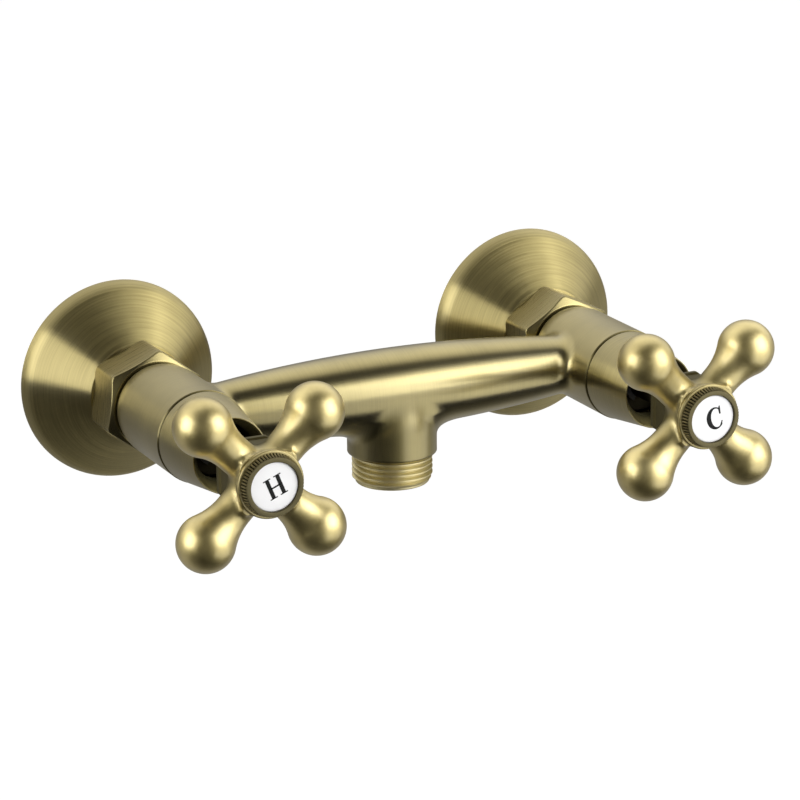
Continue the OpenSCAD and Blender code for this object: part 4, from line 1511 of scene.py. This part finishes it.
def dress_hidden(finishes: dict[str, Material]) -> None:
    """Gives the CAD nodes that stay as they are their finish.

    Args:
        finishes: Every finish by its name.
    """
    for name, node in sorted(frame["nodes"].items()):
        finish = "bare_brass" if name.endswith("wall_connector") else HIDDEN_FINISHES.get(slot_of(name))
        if finish:
            for slot in node.material_slots:
                slot.material = finishes[finish]
            log.info("%s keeps its CAD shape", name)


# ---------------------------------------------------------------- studio

def direction(azimuth: float, elevation: float) -> Vector:
    """Direction at an azimuth and an elevation in degrees."""
    a, e = math.radians(azimuth), math.radians(elevation)
    return Vector((math.sin(a) * math.cos(e), -math.cos(a) * math.cos(e), math.sin(e)))


@dataclass(frozen=True)
class Lamp:
    """A soft lamp that faces the object.

    Attributes:
        name: Its name.
        azimuth: Angle round the object from the camera's side, in degrees.
        elevation: Angle above the object, in degrees.
        distance: Its distance in metres.
        size: Its width and height in metres.
        radiance: How bright its face is.
    """

    name: str
    azimuth: float
    elevation: float
    distance: float
    size: Point
    radiance: float


@dataclass
class Studio:
    """Camera, lamps, surroundings and floor."""

    azimuth: float = -25.418
    elevation: float = 16.626
    roll: float = -0.58
    distance: float = 1.0946
    target: tuple[float, float, float] = (0.00516, -0.0484, 0.00416)
    lens: float = 150.57
    floor_drop: float = 0.55
    floor_half: float = 4.0
    lamps: tuple[Lamp, ...] = (
        Lamp("left", -58, 16, 1.0, (0.72, 0.72), 3.5),
        Lamp("right_wide", 66, 4, 0.65, (0.95, 1.25), 1.2),
        Lamp("right_key", 66, 20, 1.2, (0.9, 0.9), 3.0),
    )
    # Brightness by the angle round the X axis: 0 is the front, 90 above and 180 behind
    surround: tuple[Point, ...] = (
        (-180, 0.20), (-150, 0.30), (-115, 0.42), (-90, 0.10), (-60, 0.01), (-30, 0.03), (0, 0.10),
        (18, 0.12), (34, 0.04), (44, 0.005), (82, 0.01), (94, 0.90), (110, 1.35), (128, 1.35),
        (150, 0.90), (165, 0.4), (180, 0.20))
    warmth: Colour = (1.0, 0.98, 0.92)

    def camera(self) -> None:
        """Sets the camera."""
        back, roll = direction(self.azimuth, self.elevation), math.radians(self.roll)
        right = (-back).cross(Vector((0, 0, 1))).normalized()
        up = right.cross(-back)
        c, s = math.cos(roll), math.sin(roll)
        right, up = right * c + up * s, up * c - right * s
        data = bpy.data.cameras.new("camera")
        data.lens, data.sensor_width = self.lens, 36.0
        data.clip_start, data.clip_end = 0.01, 20.0
        camera = bpy.data.objects.new("camera", data)
        turn = Matrix((right, up, back)).transposed().to_4x4()
        camera.matrix_world = Matrix.Translation(Vector(self.target) + back * self.distance) @ turn
        bpy.context.scene.collection.objects.link(camera)
        bpy.context.scene.camera = camera

    def light(self, lamp: Lamp) -> None:
        """Adds a lamp that the camera does not see.

        Args:
            lamp: Its place, size and strength.
        """
        data = bpy.data.lights.new(lamp.name, "AREA")
        data.shape = "RECTANGLE"
        data.size, data.size_y = lamp.size
        data.energy = lamp.radiance * math.pi * data.size * data.size_y
        holder = bpy.data.objects.new(lamp.name, data)
        toward = direction(self.azimuth + lamp.azimuth, lamp.elevation)
        holder.location = Vector(self.target) + toward * lamp.distance
        holder.rotation_euler = toward.to_track_quat("Z", "Y").to_euler()
        holder.visible_camera = False
        bpy.context.scene.collection.objects.link(holder)

    def world(self) -> None:
        """Sets white surroundings for the view and a soft studio gradient for the light."""
        world = bpy.data.worlds.new("studio")
        world.use_nodes = True
        graph = Graph(world.node_tree)
        _, y, z = graph.parts(graph.add("ShaderNodeTexCoord").outputs["Generated"])
        angle = graph.math("ARCTAN2", z, graph.math("MULTIPLY", y, -1.0))
        share = graph.add("ShaderNodeMapRange", {"Value": angle, "From Min": -math.pi, "From Max": math.pi})
        ramp = graph.add("ShaderNodeValToRGB", {"Fac": share.outputs[0]})
        elements = ramp.color_ramp.elements
        while len(elements) > 1:
            elements.remove(elements[-1])
        for i, (degrees, value) in enumerate(self.surround):
            position = (degrees + 180) / 360
            element = elements.new(position) if i else elements[0]
            element.position = position
            element.color = (*(value * tone for tone in self.warmth), 1.0)
        soft = graph.add("ShaderNodeBackground", {"Color": ramp.outputs["Color"]})
        white = graph.add("ShaderNodeBackground", {"Color": (1.0, 1.0, 1.0, 1.0)})
        path = graph.add("ShaderNodeLightPath").outputs
        seen = graph.math("MAXIMUM", path["Is Camera Ray"], path["Is Transmission Ray"])
        mixed = graph.add("ShaderNodeMixShader", {0: seen, 1: soft.outputs[0], 2: white.outputs[0]})
        graph.add("ShaderNodeOutputWorld", {0: mixed.outputs[0]})
        bpy.context.scene.world = world

    def floor(self) -> None:
        """Lays a plain pale floor well below the object."""
        mesh = bpy.data.meshes.new("floor")
        z, half = -self.floor_drop, self.floor_half
        mesh.from_pydata([(-half, -half, z), (half, -half, z), (half, half, z), (-half, half, z)], [],
                         [(0, 1, 2, 3)])
        floor = bpy.data.objects.new("floor", mesh)
        paint = Paint("floor_pale")
        paint.surface({"Base Color": (0.85, 0.85, 0.85, 1.0), "Roughness": 0.9})
        dull = paint.add("ShaderNodeBsdfDiffuse", {"Color": (0.3, 0.3, 0.3, 1.0)})
        pale = paint.add("ShaderNodeEmission", {"Strength": 0.84})
        both = paint.add("ShaderNodeAddShader", {0: dull.outputs[0], 1: pale.outputs[0]})
        seen = paint.add("ShaderNodeLightPath").outputs["Is Camera Ray"]
        mixed = paint.add("ShaderNodeMixShader", {0: seen, 1: paint.shader.outputs[0], 2: both.outputs[0]})
        paint.put(mixed.outputs[0], paint.output.inputs[0])
        mesh.materials.append(paint.material)
        floor.visible_glossy = False
        bpy.context.scene.collection.objects.link(floor)

    def build(self) -> None:
        """Sets up the whole studio."""
        self.camera()
        self.world()
        self.floor()
        for lamp in self.lamps:
            self.light(lamp)
        bpy.context.scene.view_settings.view_transform = "Standard"


def main() -> None:
    """Builds every piece in order."""
    logging.basicConfig(level=logging.INFO, format="%(name)s: %(message)s")
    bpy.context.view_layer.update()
    finishes = {look.name: look.build() for look in LOOKS}
    Casting(finishes).build()
    OutletNipple(finishes).build()
    for side, nut_turn, tilt, shift in ((Side.HOT, -7.0, 22.0, 0.35), (Side.COLD, 5.0, 12.0, 0.9)):
        for piece in (WallFlange(side, finishes), UnionNut(side, finishes, nut_turn),
                      TaperedSleeve(side, finishes), CrossHandle(side, finishes),
                      IndexRing(side, finishes), IndexDisc(side, finishes, tilt, shift)):
            piece.build()
    dress_hidden(finishes)
    Studio().build()


if __name__ == "__main__":
    main()
